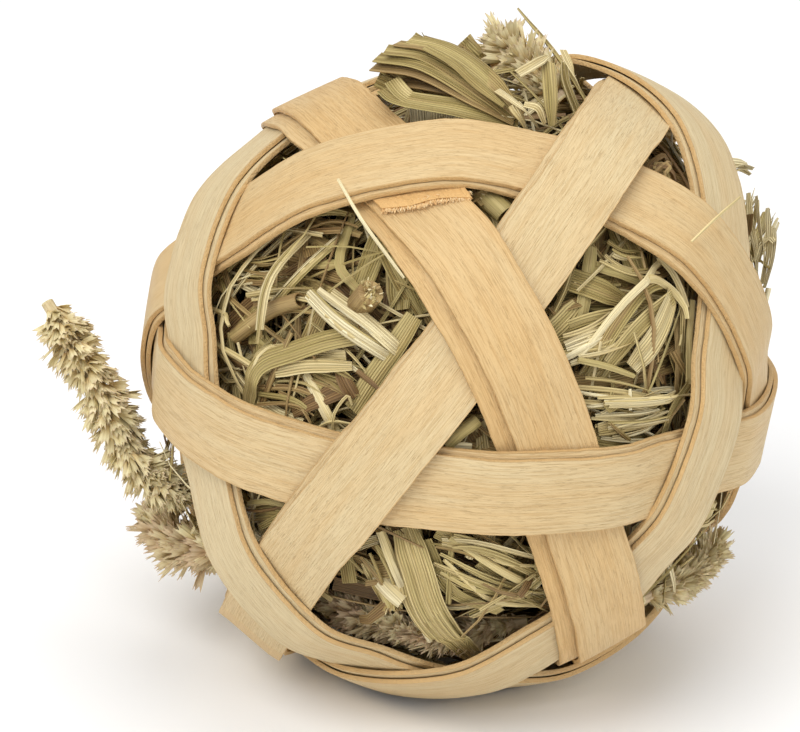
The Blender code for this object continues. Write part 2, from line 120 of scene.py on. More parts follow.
def crossingPoint(strip, other, sign):
    normal = np.cross(strip["pole"], other["pole"])
    both = strip["pole"] @ other["pole"]
    point = unit(normal) * sign
    for turn in range(8):
        heights = []
        for one in (strip, other):
            tilt = swayAt(one, angleRound(one, point)) / weave["radius"]
            heights.append(tilt / math.sqrt(1 + tilt * tilt))
        along = (heights[0] - both * heights[1]) / (1 - both * both)
        across = (heights[1] - both * heights[0]) / (1 - both * both)
        flat = strip["pole"] * along + other["pole"] * across
        point = flat + unit(normal) * sign * math.sqrt(1 - flat @ flat)
    return point


def headingAt(strip, point):
    angle = angleRound(strip, point)
    step = weave["courseStep"]
    return unit(directionAt(strip, angle + step) - directionAt(strip, angle - step))


def crossingsAlong(name):
    strip = strips[name]
    found = []
    for otherName, other in strips.items():
        if otherName == name:
            continue
        for sign in (1, -1):
            point = crossingPoint(strip, other, sign)
            meeting = abs(headingAt(strip, point) @ headingAt(other, point))
            reach = weave["width"] / 2 * math.sqrt((1 + meeting) / (1 - meeting))
            reach += (abs(strip["sideways"]) + abs(other["sideways"])) / 4
            over = (strip["pole"] @ other["pole"]) * (np.cross(strip["pole"], other["pole"]) @ point) < 0
            found.append({"angle": (strip["way"] * angleRound(strip, point)) % math.tau, "other": otherName,
                          "point": point, "reach": reach / weave["radius"], "over": over})
    return sorted(found, key=lambda entry: entry["angle"])


addPoles()
crossingTable = {name: crossingsAlong(name) for name in strips}


def endsCrossing(name):
    covered = [entry for entry in crossingTable[name] if not entry["over"]]
    return covered[strips[name]["ends"]]


def layerCount(name, point):
    # the strip lies three deep at the crossing that covers its ends, and two deep elsewhere
    return 3 if np.linalg.norm(endsCrossing(name)["point"] - point) < weave["sameCrossing"] else 2


def visitsAlong(name):
    # every crossing that the strip passes in its two turns, and the radius of its layer there
    order = crossingTable[name]
    first = [entry is endsCrossing(name) for entry in order].index(True)
    visits = []
    for step in range(2 * len(order) + 1):
        entry = order[(first + step) % len(order)]
        turn = step // len(order)
        wraps = (first + step) // len(order)
        own = layerCount(name, entry["point"])
        others = layerCount(entry["other"], entry["point"])
        layer = turn + others if entry["over"] else turn
        radius = weave["radius"] + (layer - (own + others - 1) / 2) * weave["pitch"]
        visits.append((entry["angle"] + math.tau * wraps, entry["reach"], radius))
    return visits


def radiusKnots(visits):
    # level at the crossings, sloping between them
    knots = [(visits[0][0] - 1.0, visits[0][2])]
    for (angle, reach, radius), (nextAngle, nextReach, nextRadius) in zip(visits, visits[1:]):
        share = min(1.0, weave["mostLevelShare"] * (nextAngle - angle) / (reach + nextReach))
        knots.append((angle + reach * share, radius))
        knots.append((nextAngle - nextReach * share, nextRadius))
    knots.append((visits[-1][0] + 1.0, visits[-1][2]))
    return np.array(knots)


def openWidth(directions):
    # millimetres from each direction to the nearest strip's edge, negative under a strip
    widths = []
    for strip in strips.values():
        middle = np.arctan(swayAt(strip, angleRound(strip, directions)) / weave["radius"])
        off = np.abs(np.arcsin(np.clip(directions @ strip["pole"], -1, 1)) - middle)
        widths.append(off * weave["radius"] - (weave["width"] + abs(strip["sideways"])) / 2)
    return np.min(widths, axis=0)


# Camera, as the photograph was taken

view = {
    "elevation": 23.63, "roll": 4.31, "distance": 570.0, "pixelsPerMillimetre": 6.539,
    "ballPixel": (462.6, 368.3), "frame": (800, 732), "sensor": 36.0, "nearest": 0.01,
}
tiltUp = math.radians(view["elevation"])
rollOver = math.radians(view["roll"])
levelUp = np.array((0, math.sin(tiltUp), math.cos(tiltUp)))
towardViewer = np.array((0, -math.cos(tiltUp), math.sin(tiltUp)))
levelRight = np.array((1.0, 0, 0))
viewRight = levelRight * math.cos(rollOver) + levelUp * math.sin(rollOver)
viewUp = -levelRight * math.sin(rollOver) + levelUp * math.cos(rollOver)


def swellAt(points):
    # how far the ball is out of round there: waves about the line of sight of the photograph
    directions = unit(points)
    right = directions @ viewRight
    up = directions @ viewUp
    swell = 0.0 * right
    for count, swing, crest in weave["outOfRound"]:
        turn = np.arctan2(up, right) - math.radians(crest)
        swell = swell + swing * np.hypot(right, up) ** count * np.cos(count * turn)
    return 1 + swell / weave["radius"]


def pressed(points):
    return points * swellAt(points)[..., None]


def standing(points):
    # as the ball leans once it has settled, with what is lowest pressed flat on the floor; in metres
    placed = points @ settleArray.T
    placed[:, 2] = np.maximum(placed[:, 2], -weave["floorDepth"])
    return placed * metre


def planePoint(pixel):
    # the point that a pixel of the photograph shows in the plane through the middle of the ball
    aside = pixel[0] - view["ballPixel"][0]
    down = pixel[1] - view["ballPixel"][1]
    return (viewRight * aside - viewUp * down) / view["pixelsPerMillimetre"]


def sightRay(pixel):
    start = towardViewer * view["distance"]
    return start, unit(planePoint(pixel) - start)


def fromPhoto(pixel, outside):
    # the point of the round ball that a pixel of the photograph shows, so far outside the weave's middle
    start, ray = sightRay(pixel)
    half = start @ ray
    swell = 1.0
    for turn in range(4):
        radius = (weave["radius"] + outside) * swell
        under = half * half - start @ start + radius * radius
        point = start + ray * (-half - math.sqrt(max(0.0, under)))
        swell = swellAt(point)
    return point / swell


def behindEdge(pixel, toward):
    # a point seen at the pixel, so far toward the viewer from the ball's middle
    start, ray = sightRay(pixel)
    point = start - ray * (start @ ray) - ray * toward
    return point / swellAt(point)


def addCamera():
    data = bpy.data.cameras.new("photoCamera")
    camera = bpy.data.objects.new("photoCamera", data)
    bpy.context.scene.collection.objects.link(camera)
    focal = view["pixelsPerMillimetre"] * view["distance"]
    data.sensor_width = view["sensor"]
    data.lens = focal * view["sensor"] / view["frame"][0]
    data.clip_start = view["nearest"]
    place = towardViewer * view["distance"]
    back = unit(place - planePoint((view["frame"][0] / 2, view["frame"][1] / 2)))
    right = unit(np.cross(viewUp, back))
    up = np.cross(back, right)
    turned = settle @ Matrix(np.stack((right, up, back), axis=1).tolist())
    camera.matrix_world = Matrix.Translation(settle @ Vector(place * metre)) @ turned.to_4x4()
    bpy.context.scene.camera = camera


# Materials

def addNode(tree, kind, **settings):
    node = tree.nodes.new(kind)
    for key, value in settings.items():
        setattr(node, key, value)
    return node


def feed(tree, node, inputs):
    # each input, by number or name, is a plain value, a colour or another node's output
    for key, value in inputs.items():
        if isinstance(value, bpy.types.NodeSocket):
            tree.links.new(value, node.inputs[key])
        elif isinstance(value, tuple):
            node.inputs[key].default_value = (*value, 1.0)
        else:
            node.inputs[key].default_value = value
    return node


def mathNode(tree, operation, *values, clamp=False):
    node = addNode(tree, "ShaderNodeMath", operation=operation, use_clamp=clamp)
    return feed(tree, node, dict(enumerate(values))).outputs[0]


def mixColour(tree, factor, first, second, blend="MIX"):
    node = addNode(tree, "ShaderNodeMix", data_type="RGBA", blend_type=blend)
    return feed(tree, node, {0: factor, 6: first, 7: second}).outputs[2]


def rampNode(tree, factor, stops):
    node = addNode(tree, "ShaderNodeValToRGB")
    tree.links.new(factor, node.inputs[0])
    elements = node.color_ramp.elements
    while len(elements) < len(stops):
        elements.new(0.5)
    for element, (place, colour) in zip(elements, stops):
        element.position = place
        element.color = (*colour, 1.0)
    return node.outputs[0]


def shadeBy(tree, colour, pattern, look, key):
    # darkens the colour where the pattern is low, by the stops and the share that the look gives
    return mixColour(tree, look[key + "Share"], colour, rampNode(tree, pattern, look[key]), "MULTIPLY")


def easeNode(tree, value, low, high, most):
    node = addNode(tree, "ShaderNodeMapRange", interpolation_type="SMOOTHSTEP")
    inputs = {"Value": value, "From Min": low, "From Max": high, "To Min": 0.0, "To Max": most}
    return feed(tree, node, inputs).outputs[0]


def noiseNode(tree, vector, scale, detail, roughness=0.5):
    inputs = {"Vector": vector, "Scale": scale, "Detail": detail, "Roughness": roughness}
    return feed(tree, addNode(tree, "ShaderNodeTexNoise"), inputs).outputs[0]


def splitNode(tree, vector):
    return feed(tree, addNode(tree, "ShaderNodeSeparateXYZ"), {0: vector}).outputs


def joinNode(tree, *values):
    return feed(tree, addNode(tree, "ShaderNodeCombineXYZ"), dict(enumerate(values))).outputs[0]


def attributeNode(tree, name):
    return addNode(tree, "ShaderNodeAttribute", attribute_name=name).outputs


fibreSizes = ("Line Length", "Line Width", "Streak Width")
fibrePattern = {"roughness": 0.6, "lineDetail": 2.0, "streakDetail": 3.0, "streakLength": 60.0,
                "toneLength": 45.0, "toneWidth": 9.0}


def buildFibreGroup():
    # long fibres along the first coordinate: fine lines, broad streaks and slow changes of tone
    tree = bpy.data.node_groups.new("plantFibres", "ShaderNodeTree")
    tree.interface.new_socket("Lay", in_out="INPUT", socket_type="NodeSocketVector")
    for name in fibreSizes:
        tree.interface.new_socket(name, in_out="INPUT", socket_type="NodeSocketFloat")
    for name in ("Lines", "Streaks", "Tone"):
        tree.interface.new_socket(name, in_out="OUTPUT", socket_type="NodeSocketFloat")
    start = addNode(tree, "NodeGroupInput").outputs
    end = addNode(tree, "NodeGroupOutput")
    split = splitNode(tree, start["Lay"])
    values = fibrePattern

    def pattern(length, width, detail):
        drawn = joinNode(tree, mathNode(tree, "DIVIDE", split[0], length),
                         mathNode(tree, "DIVIDE", split[1], width), split[2])
        return noiseNode(tree, drawn, 1.0, detail, values["roughness"])

    feed(tree, end, {
        "Lines": pattern(start["Line Length"], start["Line Width"], values["lineDetail"]),
        "Streaks": pattern(values["streakLength"], start["Streak Width"], values["streakDetail"]),
        "Tone": pattern(values["toneLength"], values["toneWidth"], values["lineDetail"]),
    })
    return tree


fibreGroup = buildFibreGroup()


def fibreNode(tree, lay, sizes):
    # sizes are the length and width of a line and the width of a streak, in millimetres
    node = addNode(tree, "ShaderNodeGroup", node_tree=fibreGroup)
    return feed(tree, node, {"Lay": lay, **dict(zip(fibreSizes, sizes))}).outputs


def startMaterial(name, look):
    material = bpy.data.materials.new(name)
    material.use_nodes = True
    tree = material.node_tree
    shader = tree.nodes["Principled BSDF"]
    feed(tree, shader, {"Roughness": look["roughness"], "Specular IOR Level": look["specular"]})
    return material, tree, shader


def endMaterial(tree, shader, look, colour, height):
    bump = addNode(tree, "ShaderNodeBump")
    feed(tree, bump, {"Strength": look["bump"], "Distance": look["bumpDepth"], "Height": height})
    feed(tree, shader, {"Base Color": colour, "Normal": bump.outputs[0]})


veneerLook = {
    "roughness": 0.55, "specular": 0.3, "bump": 0.55, "bumpDepth": 0.0003,
    "fibres": (6.5, 0.15, 2.4), "pores": (2.0, 0.13, 0.5), "stripApart": 37.0,
    "pale": (0.685, 0.557, 0.33), "honey": (0.67, 0.447, 0.2),
    "toneSwing": 1.1, "toneShift": -0.6, "streakSwing": 0.6, "streakShift": -0.3,
    "lines": ((0.4, (0.86, 0.79, 0.7)), (0.53, (1.03, 1.03, 1.03))), "linesShare": 0.8,
    "fleck": (0.42, 0.25, 0.09), "flecks": ((0.6, (0, 0, 0)), (0.68, (1, 1, 1))),
    "fleckShare": 0.36, "fleckDepth": -0.5,
    "edge": (0.56, 0.34, 0.13), "edgeFrom": 0.478, "edgeTo": 0.5, "edgeShare": 0.8,
    "torn": (0.8, 0.46, 0.16), "tornPale": (0.62, 0.50, 0.30), "tornLength": 3.2, "tornFull": 0.7,
    "tornShare": 0.85, "tornGrain": 2600.0, "tornDetail": 3.0, "tornDepth": 2.5,
}


def veneerMaterial():
    # the UV map holds millimetres from the outer end along the strip, and the share across it
    look = veneerLook
    material, tree, shader = startMaterial("peeledVeneer", look)
    place = splitNode(tree, addNode(tree, "ShaderNodeUVMap", uv_map="lengthAndWidth").outputs[0])
    tone = attributeNode(tree, "tone")["Fac"]
    lay = joinNode(tree, place[0], mathNode(tree, "MULTIPLY", place[1], weave["width"]),
                   mathNode(tree, "MULTIPLY", tone, look["stripApart"]))
    fibres = fibreNode(tree, lay, look["fibres"])
    pores = fibreNode(tree, lay, look["pores"])

    warm = mathNode(tree, "MULTIPLY_ADD", fibres["Tone"], look["toneSwing"], look["toneShift"])
    warm = mathNode(tree, "ADD", warm, tone)
    streaky = mathNode(tree, "MULTIPLY_ADD", fibres["Streaks"], look["streakSwing"], look["streakShift"])
    warm = mathNode(tree, "ADD", warm, streaky, clamp=True)
    colour = mixColour(tree, warm, look["pale"], look["honey"])
    colour = shadeBy(tree, colour, fibres["Lines"], look, "lines")
    fleck = rampNode(tree, pores["Lines"], look["flecks"])
    colour = mixColour(tree, mathNode(tree, "MULTIPLY", fleck, look["fleckShare"]), colour, look["fleck"])

    aside = mathNode(tree, "ABSOLUTE", mathNode(tree, "SUBTRACT", place[1], 0.5))
    edge = easeNode(tree, aside, look["edgeFrom"], look["edgeTo"], look["edgeShare"])
    colour = mixColour(tree, edge, colour, mixColour(tree, pores["Lines"], look["edge"], look["honey"]))
    tornFull = -look["tornFull"] * look["tornLength"]
    torn = easeNode(tree, place[0], -look["tornLength"], tornFull, look["tornShare"])
    colour = mixColour(tree, torn, colour, mixColour(tree, tone, look["tornPale"], look["torn"]))

    height = mathNode(tree, "ADD", fibres["Lines"], mathNode(tree, "MULTIPLY", fleck, look["fleckDepth"]))
    coordinate = addNode(tree, "ShaderNodeTexCoord").outputs["Object"]
    rough = noiseNode(tree, coordinate, look["tornGrain"], look["tornDetail"])
    rough = mathNode(tree, "MULTIPLY", rough, mathNode(tree, "MAXIMUM", torn, edge))
    height = mathNode(tree, "ADD", height, mathNode(tree, "MULTIPLY", rough, look["tornDepth"]))
    endMaterial(tree, shader, look, colour, height)
    return material


def stalkInputs(tree, look):
    # the lay attribute holds millimetres along, millimetres across and a number for each stalk;
    # the shade attribute holds how pale it is
    lay = attributeNode(tree, "lay")["Vector"]
    return splitNode(tree, lay), attributeNode(tree, "shade")["Fac"], fibreNode(tree, lay, look["fibres"])


hayLook = {
    "roughness": 0.55, "specular": 0.4, "bump": 0.5, "bumpDepth": 0.00025, "fibres": (9.0, 0.11, 0.8),
    "toneSwing": 0.5, "streakSwing": 0.5,
    "tones": ((0.0, (0.08, 0.05, 0.018)), (0.2, (0.27, 0.16, 0.065)), (0.42, (0.46, 0.33, 0.14)),
              (0.58, (0.47, 0.385, 0.15)), (0.78, (0.73, 0.60, 0.30)), (1.0, (0.90, 0.82, 0.56))),
    "lines": ((0.34, (0.62, 0.56, 0.46)), (0.6, (1.08, 1.07, 1.04))), "linesShare": 0.85,
    "ribs": 5.0, "ribHeight": 1.5,
    "grooves": ((0.1, (0.5, 0.44, 0.33)), (0.6, (1.06, 1.05, 1.0))), "groovesShare": 0.7,
    "inShade": 0.4, "shadeTint": (1.0, 0.94, 0.84),
}


def hayMaterial(name, ribs, darken):
    look = hayLook
    material, tree, shader = startMaterial(name, look)
    lay, shade, fibres = stalkInputs(tree, look)
    tone = mathNode(tree, "SUBTRACT", fibres["Tone"], 0.5)
    streaks = mathNode(tree, "SUBTRACT", fibres["Streaks"], 0.5)
    value = mathNode(tree, "ADD", shade, mathNode(tree, "MULTIPLY", tone, look["toneSwing"]))
    value = mathNode(tree, "ADD", value, mathNode(tree, "MULTIPLY", streaks, look["streakSwing"]), clamp=True)
    colour = shadeBy(tree, rampNode(tree, value, look["tones"]), fibres["Lines"], look, "lines")
    height = fibres["Lines"]
    # the ribs are painted lighter on their ridges and darker in the grooves: partly the leaf's own stripes, partly
    # painted light and shade
    if ribs:
        wave = mathNode(tree, "SINE", mathNode(tree, "MULTIPLY", lay[1], math.tau * ribs / 2))
        wave = mathNode(tree, "MULTIPLY_ADD", wave, 0.5, 0.5)
        colour = shadeBy(tree, colour, wave, look, "grooves")
        height = mathNode(tree, "ADD", mathNode(tree, "MULTIPLY", wave, look["ribHeight"]), height)
    # painted shade: the hay deep inside the ball is darkened and warmed here, in place of the shade that the hay
    # around it casts
    if darken < 1.0:
        tint = tuple(darken * part for part in look["shadeTint"])
        colour = mixColour(tree, 1.0, colour, tint, "MULTIPLY")
    endMaterial(tree, shader, look, colour, height)
    return material


headLook = {
    "roughness": 0.7, "specular": 0.25, "bump": 0.4, "bumpDepth": 0.0002, "fibres": (3.0, 0.25, 0.8),
    "tones": ((0.0, (0.44, 0.25, 0.09)), (0.3, (0.72, 0.57, 0.29)), (0.75, (0.88, 0.80, 0.52)),
              (1.0, (0.70, 0.54, 0.38))),
    "purple": (0.60, 0.38, 0.27), "green": (0.60, 0.54, 0.27), "greenShare": 0.55,
    "lines": ((0.3, (0.74, 0.68, 0.58)), (0.62, (1.06, 1.05, 1.03))), "linesShare": 0.8,
}


def headMaterial():
    # here the first of lay runs from root to tip of a husk, and shade holds how purple it is
    look = headLook
    material, tree, shader = startMaterial("dryFlorets", look)
    lay, shade, fibres = stalkInputs(tree, look)
    own = addNode(tree, "ShaderNodeTexWhiteNoise", noise_dimensions="1D")
    own = feed(tree, own, {"W": lay[2]}).outputs["Value"]
    colour = rampNode(tree, lay[0], look["tones"])
    colour = mixColour(tree, mathNode(tree, "MULTIPLY", own, look["greenShare"]), colour, look["green"])
    colour = mixColour(tree, shade, colour, look["purple"])
    colour = shadeBy(tree, colour, fibres["Lines"], look, "lines")
    endMaterial(tree, shader, look, colour, fibres["Lines"])
    return material


cutLook = {
    "roughness": 0.65, "specular": 0.2, "bump": 0.3, "bumpDepth": 0.0001, "fibres": (1.0, 0.08, 0.4),
    "dark": (0.8, 0.46, 0.16), "pale": (0.88, 0.70, 0.42),
    "lines": ((0.3, (0.7, 0.62, 0.5)), (0.6, (1.05, 1.05, 1.05))), "linesShare": 0.8,
}


def cutFibreMaterial():
    look = cutLook
    material, tree, shader = startMaterial("cutVeneerFibres", look)
    lay, shade, fibres = stalkInputs(tree, look)
    colour = mixColour(tree, shade, look["dark"], look["pale"])
    colour = shadeBy(tree, colour, fibres["Lines"], look, "lines")
    endMaterial(tree, shader, look, colour, fibres["Lines"])
    return material


materials = {
    "veneer": veneerMaterial(),
    "cutFibres": cutFibreMaterial(),
    "blade": hayMaterial("ribbedHayBlades", hayLook["ribs"], 1.0),
    "straw": hayMaterial("hayStems", 0, 1.0),
    "deep": hayMaterial("hayInShade", hayLook["ribs"], hayLook["inShade"]),
    "head": headMaterial(),
}
print("materials made")

# Veneer strips

stripMesh = {
    "stepLength": 0.8, "acrossSteps": 6, "edgeWave": 0.2, "edgeWaveLength": 9.0, "edgeRough": 0.06,
    "edgeRoughLength": 1.6, "bevel": 0.08, "bevelAngle": 50, "smoothAngle": 40, "jagLength": 0.35,
    "jagPoints": 60, "jagSpread": 25, "jagReach": 12, "cup": 0.1, "easing": 9.0, "easeSteps": 4000, "curledShare": 6,
}


def soften(share):
    return share * share * (3 - 2 * share)


def waveNoise(count, scale, seed):
    # smooth random values along a course, one for each step
    source = np.random.default_rng(seed)
    knots = source.uniform(-1, 1, int(count / scale) + 4)
    place = np.arange(count) / scale
    index = place.astype(int)
    share = soften(place - index)
    return knots[index] * (1 - share) + knots[index + 1] * share


def stripRadius(angles, knots):
    # the stepped course of the crossings, eased as stiff veneer bends
    line = np.linspace(knots[0, 0], knots[-1, 0], stripMesh["easeSteps"])
    course = np.interp(line, knots[:, 0], knots[:, 1])
    reach = round(stripMesh["easing"] / weave["radius"] / (line[1] - line[0]))
    share = np.hanning(reach)
    padded = np.concatenate((np.full(reach, course[0]), course, np.full(reach, course[-1])))
    eased = np.convolve(padded, share / share.sum(), "same")[reach:-reach]
    return np.interp(angles, line, eased)


def gridPiece(lengthSteps, acrossSteps, size=1):
    bpy.ops.mesh.primitive_grid_add(x_subdivisions=lengthSteps, y_subdivisions=acrossSteps, size=size)
    return bpy.context.object


def pointsOf(mesh):
    points = np.empty(len(mesh.vertices) * 3)
    mesh.vertices.foreach_get("co", points)
    return points.reshape(-1, 3)


def addWall(piece, thickness, offset=0.0):
    wall = piece.modifiers.new("thickness", "SOLIDIFY")
    wall.thickness = thickness
    wall.offset = offset


def applyModifiers(piece):
    bpy.context.view_layer.objects.active = piece
    for modifier in list(piece.modifiers):
        bpy.ops.object.modifier_apply(modifier=modifier.name)


def finishPiece(piece, name, material, slot, *nodes):
    piece.name = name
    piece.data.name = name
    piece.data.materials.clear()
    piece.data.materials.append(materials[material])
    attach(piece, "root")
    if nodes:
        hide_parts(*nodes)
    piece.select_set(False)


def edgeCourse(steps, seed):
    # how far one long edge of a strip wanders, step by step
    wave = waveNoise(steps + 1, stripMesh["edgeWaveLength"], seed) * stripMesh["edgeWave"]
    return wave + waveNoise(steps + 1, stripMesh["edgeRoughLength"], 90 + seed) * stripMesh["edgeRough"]


def veneerStrip(name, number):
    strip = strips[name]
    visits = visitsAlong(name)
    first = visits[0][0] - weave["hiddenEnd"] / weave["radius"]
    last = visits[-1][0] + strip["tail"] / weave["radius"]
    length = (last - first) * weave["radius"]
    steps = round(length / stripMesh["stepLength"])
    piece = gridPiece(steps, stripMesh["acrossSteps"], 2)
    mesh = piece.data
    places = pointsOf(mesh)
    along = (places[:, 0] + 1) / 2
    side = places[:, 1]
    step = np.rint(along * steps).astype(int)

    jag = waveNoise(stripMesh["jagPoints"], 1.0, 40 + number)
    jag = jag[np.rint((side + 1) * stripMesh["jagSpread"]).astype(int)] * stripMesh["jagLength"]
    jag = jag + strip.get("cutSlant", 0.0) * side
    endward = np.clip((along - 1) * length / stripMesh["jagReach"] + 1, 0, 1)
    angles = first + along * (last - first) + jag * endward / weave["radius"]
    middle = visits[len(visits) // 2][0]
    share = np.clip((angles - middle) / math.radians(weave["changeOver"]) + 0.5, 0, 1)
    aside = strip["sideways"] * (soften(share) - 0.5)
    radius = stripRadius(angles, radiusKnots(visits))
    if name == springingStrip:
        tail = strip["tail"] / weave["radius"]
        beyond = np.clip(angles - visits[-1][0] - tail / stripMesh["curledShare"], 0, None)
        radius = radius / np.cos(beyond)
    around = strip["way"] * angles
    here = directionAt(strip, around, aside)
    ahead = directionAt(strip, around + weave["courseStep"], aside)
    behind = directionAt(strip, around - weave["courseStep"], aside)
    across = unit(np.cross(ahead - behind, here))
    edges = np.stack([edgeCourse(steps, 7 * number + k) for k in (0, 1)])
    edge = edges[(side > 0).astype(int), step]
    reach = side * weave["width"] / 2 + np.sign(side) * edge * np.abs(side) ** 3
    points = pressed(here * (radius - stripMesh["cup"] * side ** 2)[:, None] + across * reach[:, None])
    mesh.vertices.foreach_set("co", standing(points).ravel())

    layer = mesh.uv_layers.active
    layer.name = "lengthAndWidth"
    corner = np.empty(len(mesh.loops), int)
    mesh.loops.foreach_get("vertex_index", corner)
    uv = np.stack(((along[corner] - 1) * length, (side[corner] + 1) / 2), axis=1)
    layer.data.foreach_set("uv", uv.ravel())
    mesh.update()

    addWall(piece, weave["thickness"] * metre)
    rounding = piece.modifiers.new("softEdges", "BEVEL")
    rounding.width = stripMesh["bevel"] * metre
    rounding.segments = 2
    rounding.limit_method = "ANGLE"
    rounding.angle_limit = math.radians(stripMesh["bevelAngle"])
    applyModifiers(piece)
    tone = piece.data.attributes.new("tone", "FLOAT", "POINT")
    tone.data.foreach_set("value", np.full(len(piece.data.vertices), strip["tone"]))
    bpy.ops.object.shade_smooth_by_angle(angle=math.radians(stripMesh["smoothAngle"]))
    finishPiece(piece, f"veneerBand{number}", "veneer", "pale_veneer", name)


for number, name in enumerate(strips, 1):
    veneerStrip(name, number)
print("veneer strips wound")

# Templates for the hay: one straight stalk of each kind, drawn along many courses later

templates = {}


def keepTemplate(piece, kind, acrossShare):
    # keeps the points and faces of a modelled piece, and takes it off the scene
    mesh = piece.data
    points = pointsOf(mesh)
    faces = [tuple(face.vertices) for face in mesh.polygons]
    templates[kind] = {"points": points, "faces": faces, "across": acrossShare(points)}
    bpy.data.objects.remove(piece, do_unlink=True)
    bpy.data.meshes.remove(mesh)


def modelBlade(kind, lengthSteps, folds, foldDepth, thickness):
    # a flat leaf, folded lengthwise into ribs
    piece = gridPiece(lengthSteps, folds)
    for vertex in piece.data.vertices:
        fold = round((vertex.co.y + 0.5) * folds)
        vertex.co.x += 0.5
        vertex.co.z = foldDepth * (fold % 2) - foldDepth / 2
    addWall(piece, thickness)
    applyModifiers(piece)
    keepTemplate(piece, kind, lambda points: points[:, 1])


def modelRolled(kind, lengthSteps, sides, wallShare=None):
    # a grid rolled up with its seam merged: its ends filled, or with a wall and open ends
    piece = gridPiece(lengthSteps, sides)
    for vertex in piece.data.vertices:
        turn = vertex.co.y * math.tau
        vertex.co = (vertex.co.x + 0.5, 0.5 * math.sin(turn), 0.5 * math.cos(turn))
    bpy.ops.object.mode_set(mode="EDIT")
    bpy.ops.mesh.select_all(action="SELECT")
    bpy.ops.mesh.remove_doubles(threshold=0.0001)
    if wallShare is None:
        bpy.ops.mesh.fill_holes(sides=0)
    bpy.ops.mesh.normals_make_consistent(inside=False)
    bpy.ops.object.mode_set(mode="OBJECT")
    if wallShare is not None:
        addWall(piece, wallShare, -1.0)
        applyModifiers(piece)
    keepTemplate(piece, kind, lambda points: np.arctan2(points[:, 1], points[:, 2]) / math.pi)


bract = {"lengthSteps": 3, "folds": 4, "root": 0.3, "swell": 1.5, "narrowing": 0.55, "notch": 0.22,
         "cup": 1.1, "curl": 0.18, "thickness": 0.05}


def modelBract():
    # a papery husk: narrow at its root, cupped, with three points at its end
    piece = gridPiece(bract["lengthSteps"], bract["folds"])
    for vertex in piece.data.vertices:
        along = vertex.co.x + 0.5
        breadth = bract["root"] + bract["swell"] * along * (1 - bract["narrowing"] * along)
        notch = bract["notch"] * along * (round((vertex.co.y + 0.5) * bract["folds"]) % 2)
        raised = bract["cup"] * vertex.co.y ** 2 + bract["curl"] * along ** 2
        vertex.co = (along - notch, vertex.co.y * breadth, raised)
    addWall(piece, bract["thickness"], -1.0)
    applyModifiers(piece)
    keepTemplate(piece, "bract", lambda points: points[:, 1])


modelBlade("fineBlade", 22, 14, 0.04, 0.05)
modelBlade("fibre", 8, 2, 0.2, 0.14)
modelBract()
modelBlade("blade", 10, 4, 0.09, 0.09)
modelRolled("straw", 12, 8)
modelRolled("strand", 9, 4)
modelRolled("hollow", 8, 12, 0.09)
modelRolled("pithy", 10, 12, 0.4)
modelRolled("hair", 3, 3)
print("hay templates modelled")

# Drawing stalks along their courses

stalk = {"smoothAngle": 35, "tuckRise": 0.75, "tuckMost": 6.0, "steepest": 0.25, "spare": (0.3, 0.2, 1.0),
         "rootTaper": 5, "endTaper": 3.5}


class Bundle:
    # stalks gathered into one mesh
    def __init__(self):
        self.points, self.faces, self.lay, self.shade, self.count = [], [], [], [], 0

    def add(self, points, faces, lay, shade):
        self.points.append(points)
        self.faces.extend(tuple(index + self.count for index in face) for face in faces)
        self.lay.append(lay)
        self.shade.append(np.full(len(points), shade))
        self.count += len(points)

    def finish(self, name, material, slot, *nodes):
        mesh = bpy.data.meshes.new(name)
        points = standing(pressed(np.concatenate(self.points)))
        mesh.from_pydata(points.tolist(), [], self.faces)
        lay = mesh.attributes.new("lay", "FLOAT_VECTOR", "POINT")
        lay.data.foreach_set("vector", np.concatenate(self.lay).ravel())
        shade = mesh.attributes.new("shade", "FLOAT", "POINT")
        shade.data.foreach_set("value", np.concatenate(self.shade))
        piece = bpy.data.objects.new(name, mesh)
        bpy.context.scene.collection.objects.link(piece)
        bpy.context.view_layer.objects.active = piece
        piece.select_set(True)
        bpy.ops.object.shade_smooth_by_angle(angle=math.radians(stalk["smoothAngle"]))
        finishPiece(piece, name, material, slot, *nodes)

    def finishFor(self, node, material, slot, ending="Fine"):
        self.finish(node.replace("_", "") + ending, material, slot, node)


def smoothCourse(points, count):
    # a Catmull-Rom curve through the points, with count points in even shares
    points = np.asarray(points, float)
    if len(points) == 2:
        points = np.stack((points[0], points.mean(0), points[1]))
    padded = np.vstack((2 * points[0] - points[1], points, 2 * points[-1] - points[-2]))
    place = np.linspace(0, len(points) - 1, count)
    index = np.minimum(place.astype(int), len(points) - 2)
    t = (place - index)[:, None]
    before, start, end, after = (padded[index + k] for k in range(4))
    return 0.5 * (2 * start + (end - before) * t + (2 * before - 5 * start + 4 * end - after) * t ** 2
                  + (3 * start - before - 3 * end + after) * t ** 3)


def spherePlaces(places):
    return [onSphere(longitude, latitude, weave["radius"] + outside) for longitude, latitude, outside in places]


def photoCourse(places, count, placed=fromPhoto):
    return smoothCourse([placed(place[:2], place[2]) for place in places], count)


def courseLength(course):
    return np.linalg.norm(np.diff(course, axis=0), axis=1).sum()


def tuckCourse(course, halfDepth, halfWidth, most=stalk["tuckMost"]):
    # lowers a course as far as the strips above it need
    distance = np.linalg.norm(course, axis=1)
    free = np.clip(openWidth(course / distance[:, None]) - halfWidth - weave["clearance"], 0, None)
    ceiling = stalkCeiling - halfDepth + np.minimum(stalk["tuckRise"] * free, most)
    return course * (np.minimum(distance, ceiling) / distance)[:, None]


def courseFrame(course):
    ahead = unit(np.gradient(course, axis=0))
    across = np.cross(ahead, unit(course))
    if (np.linalg.norm(across, axis=1) < stalk["steepest"]).any():
        across = np.cross(ahead, np.array(stalk["spare"]))
    across = unit(across)
    return across, np.cross(across, ahead)


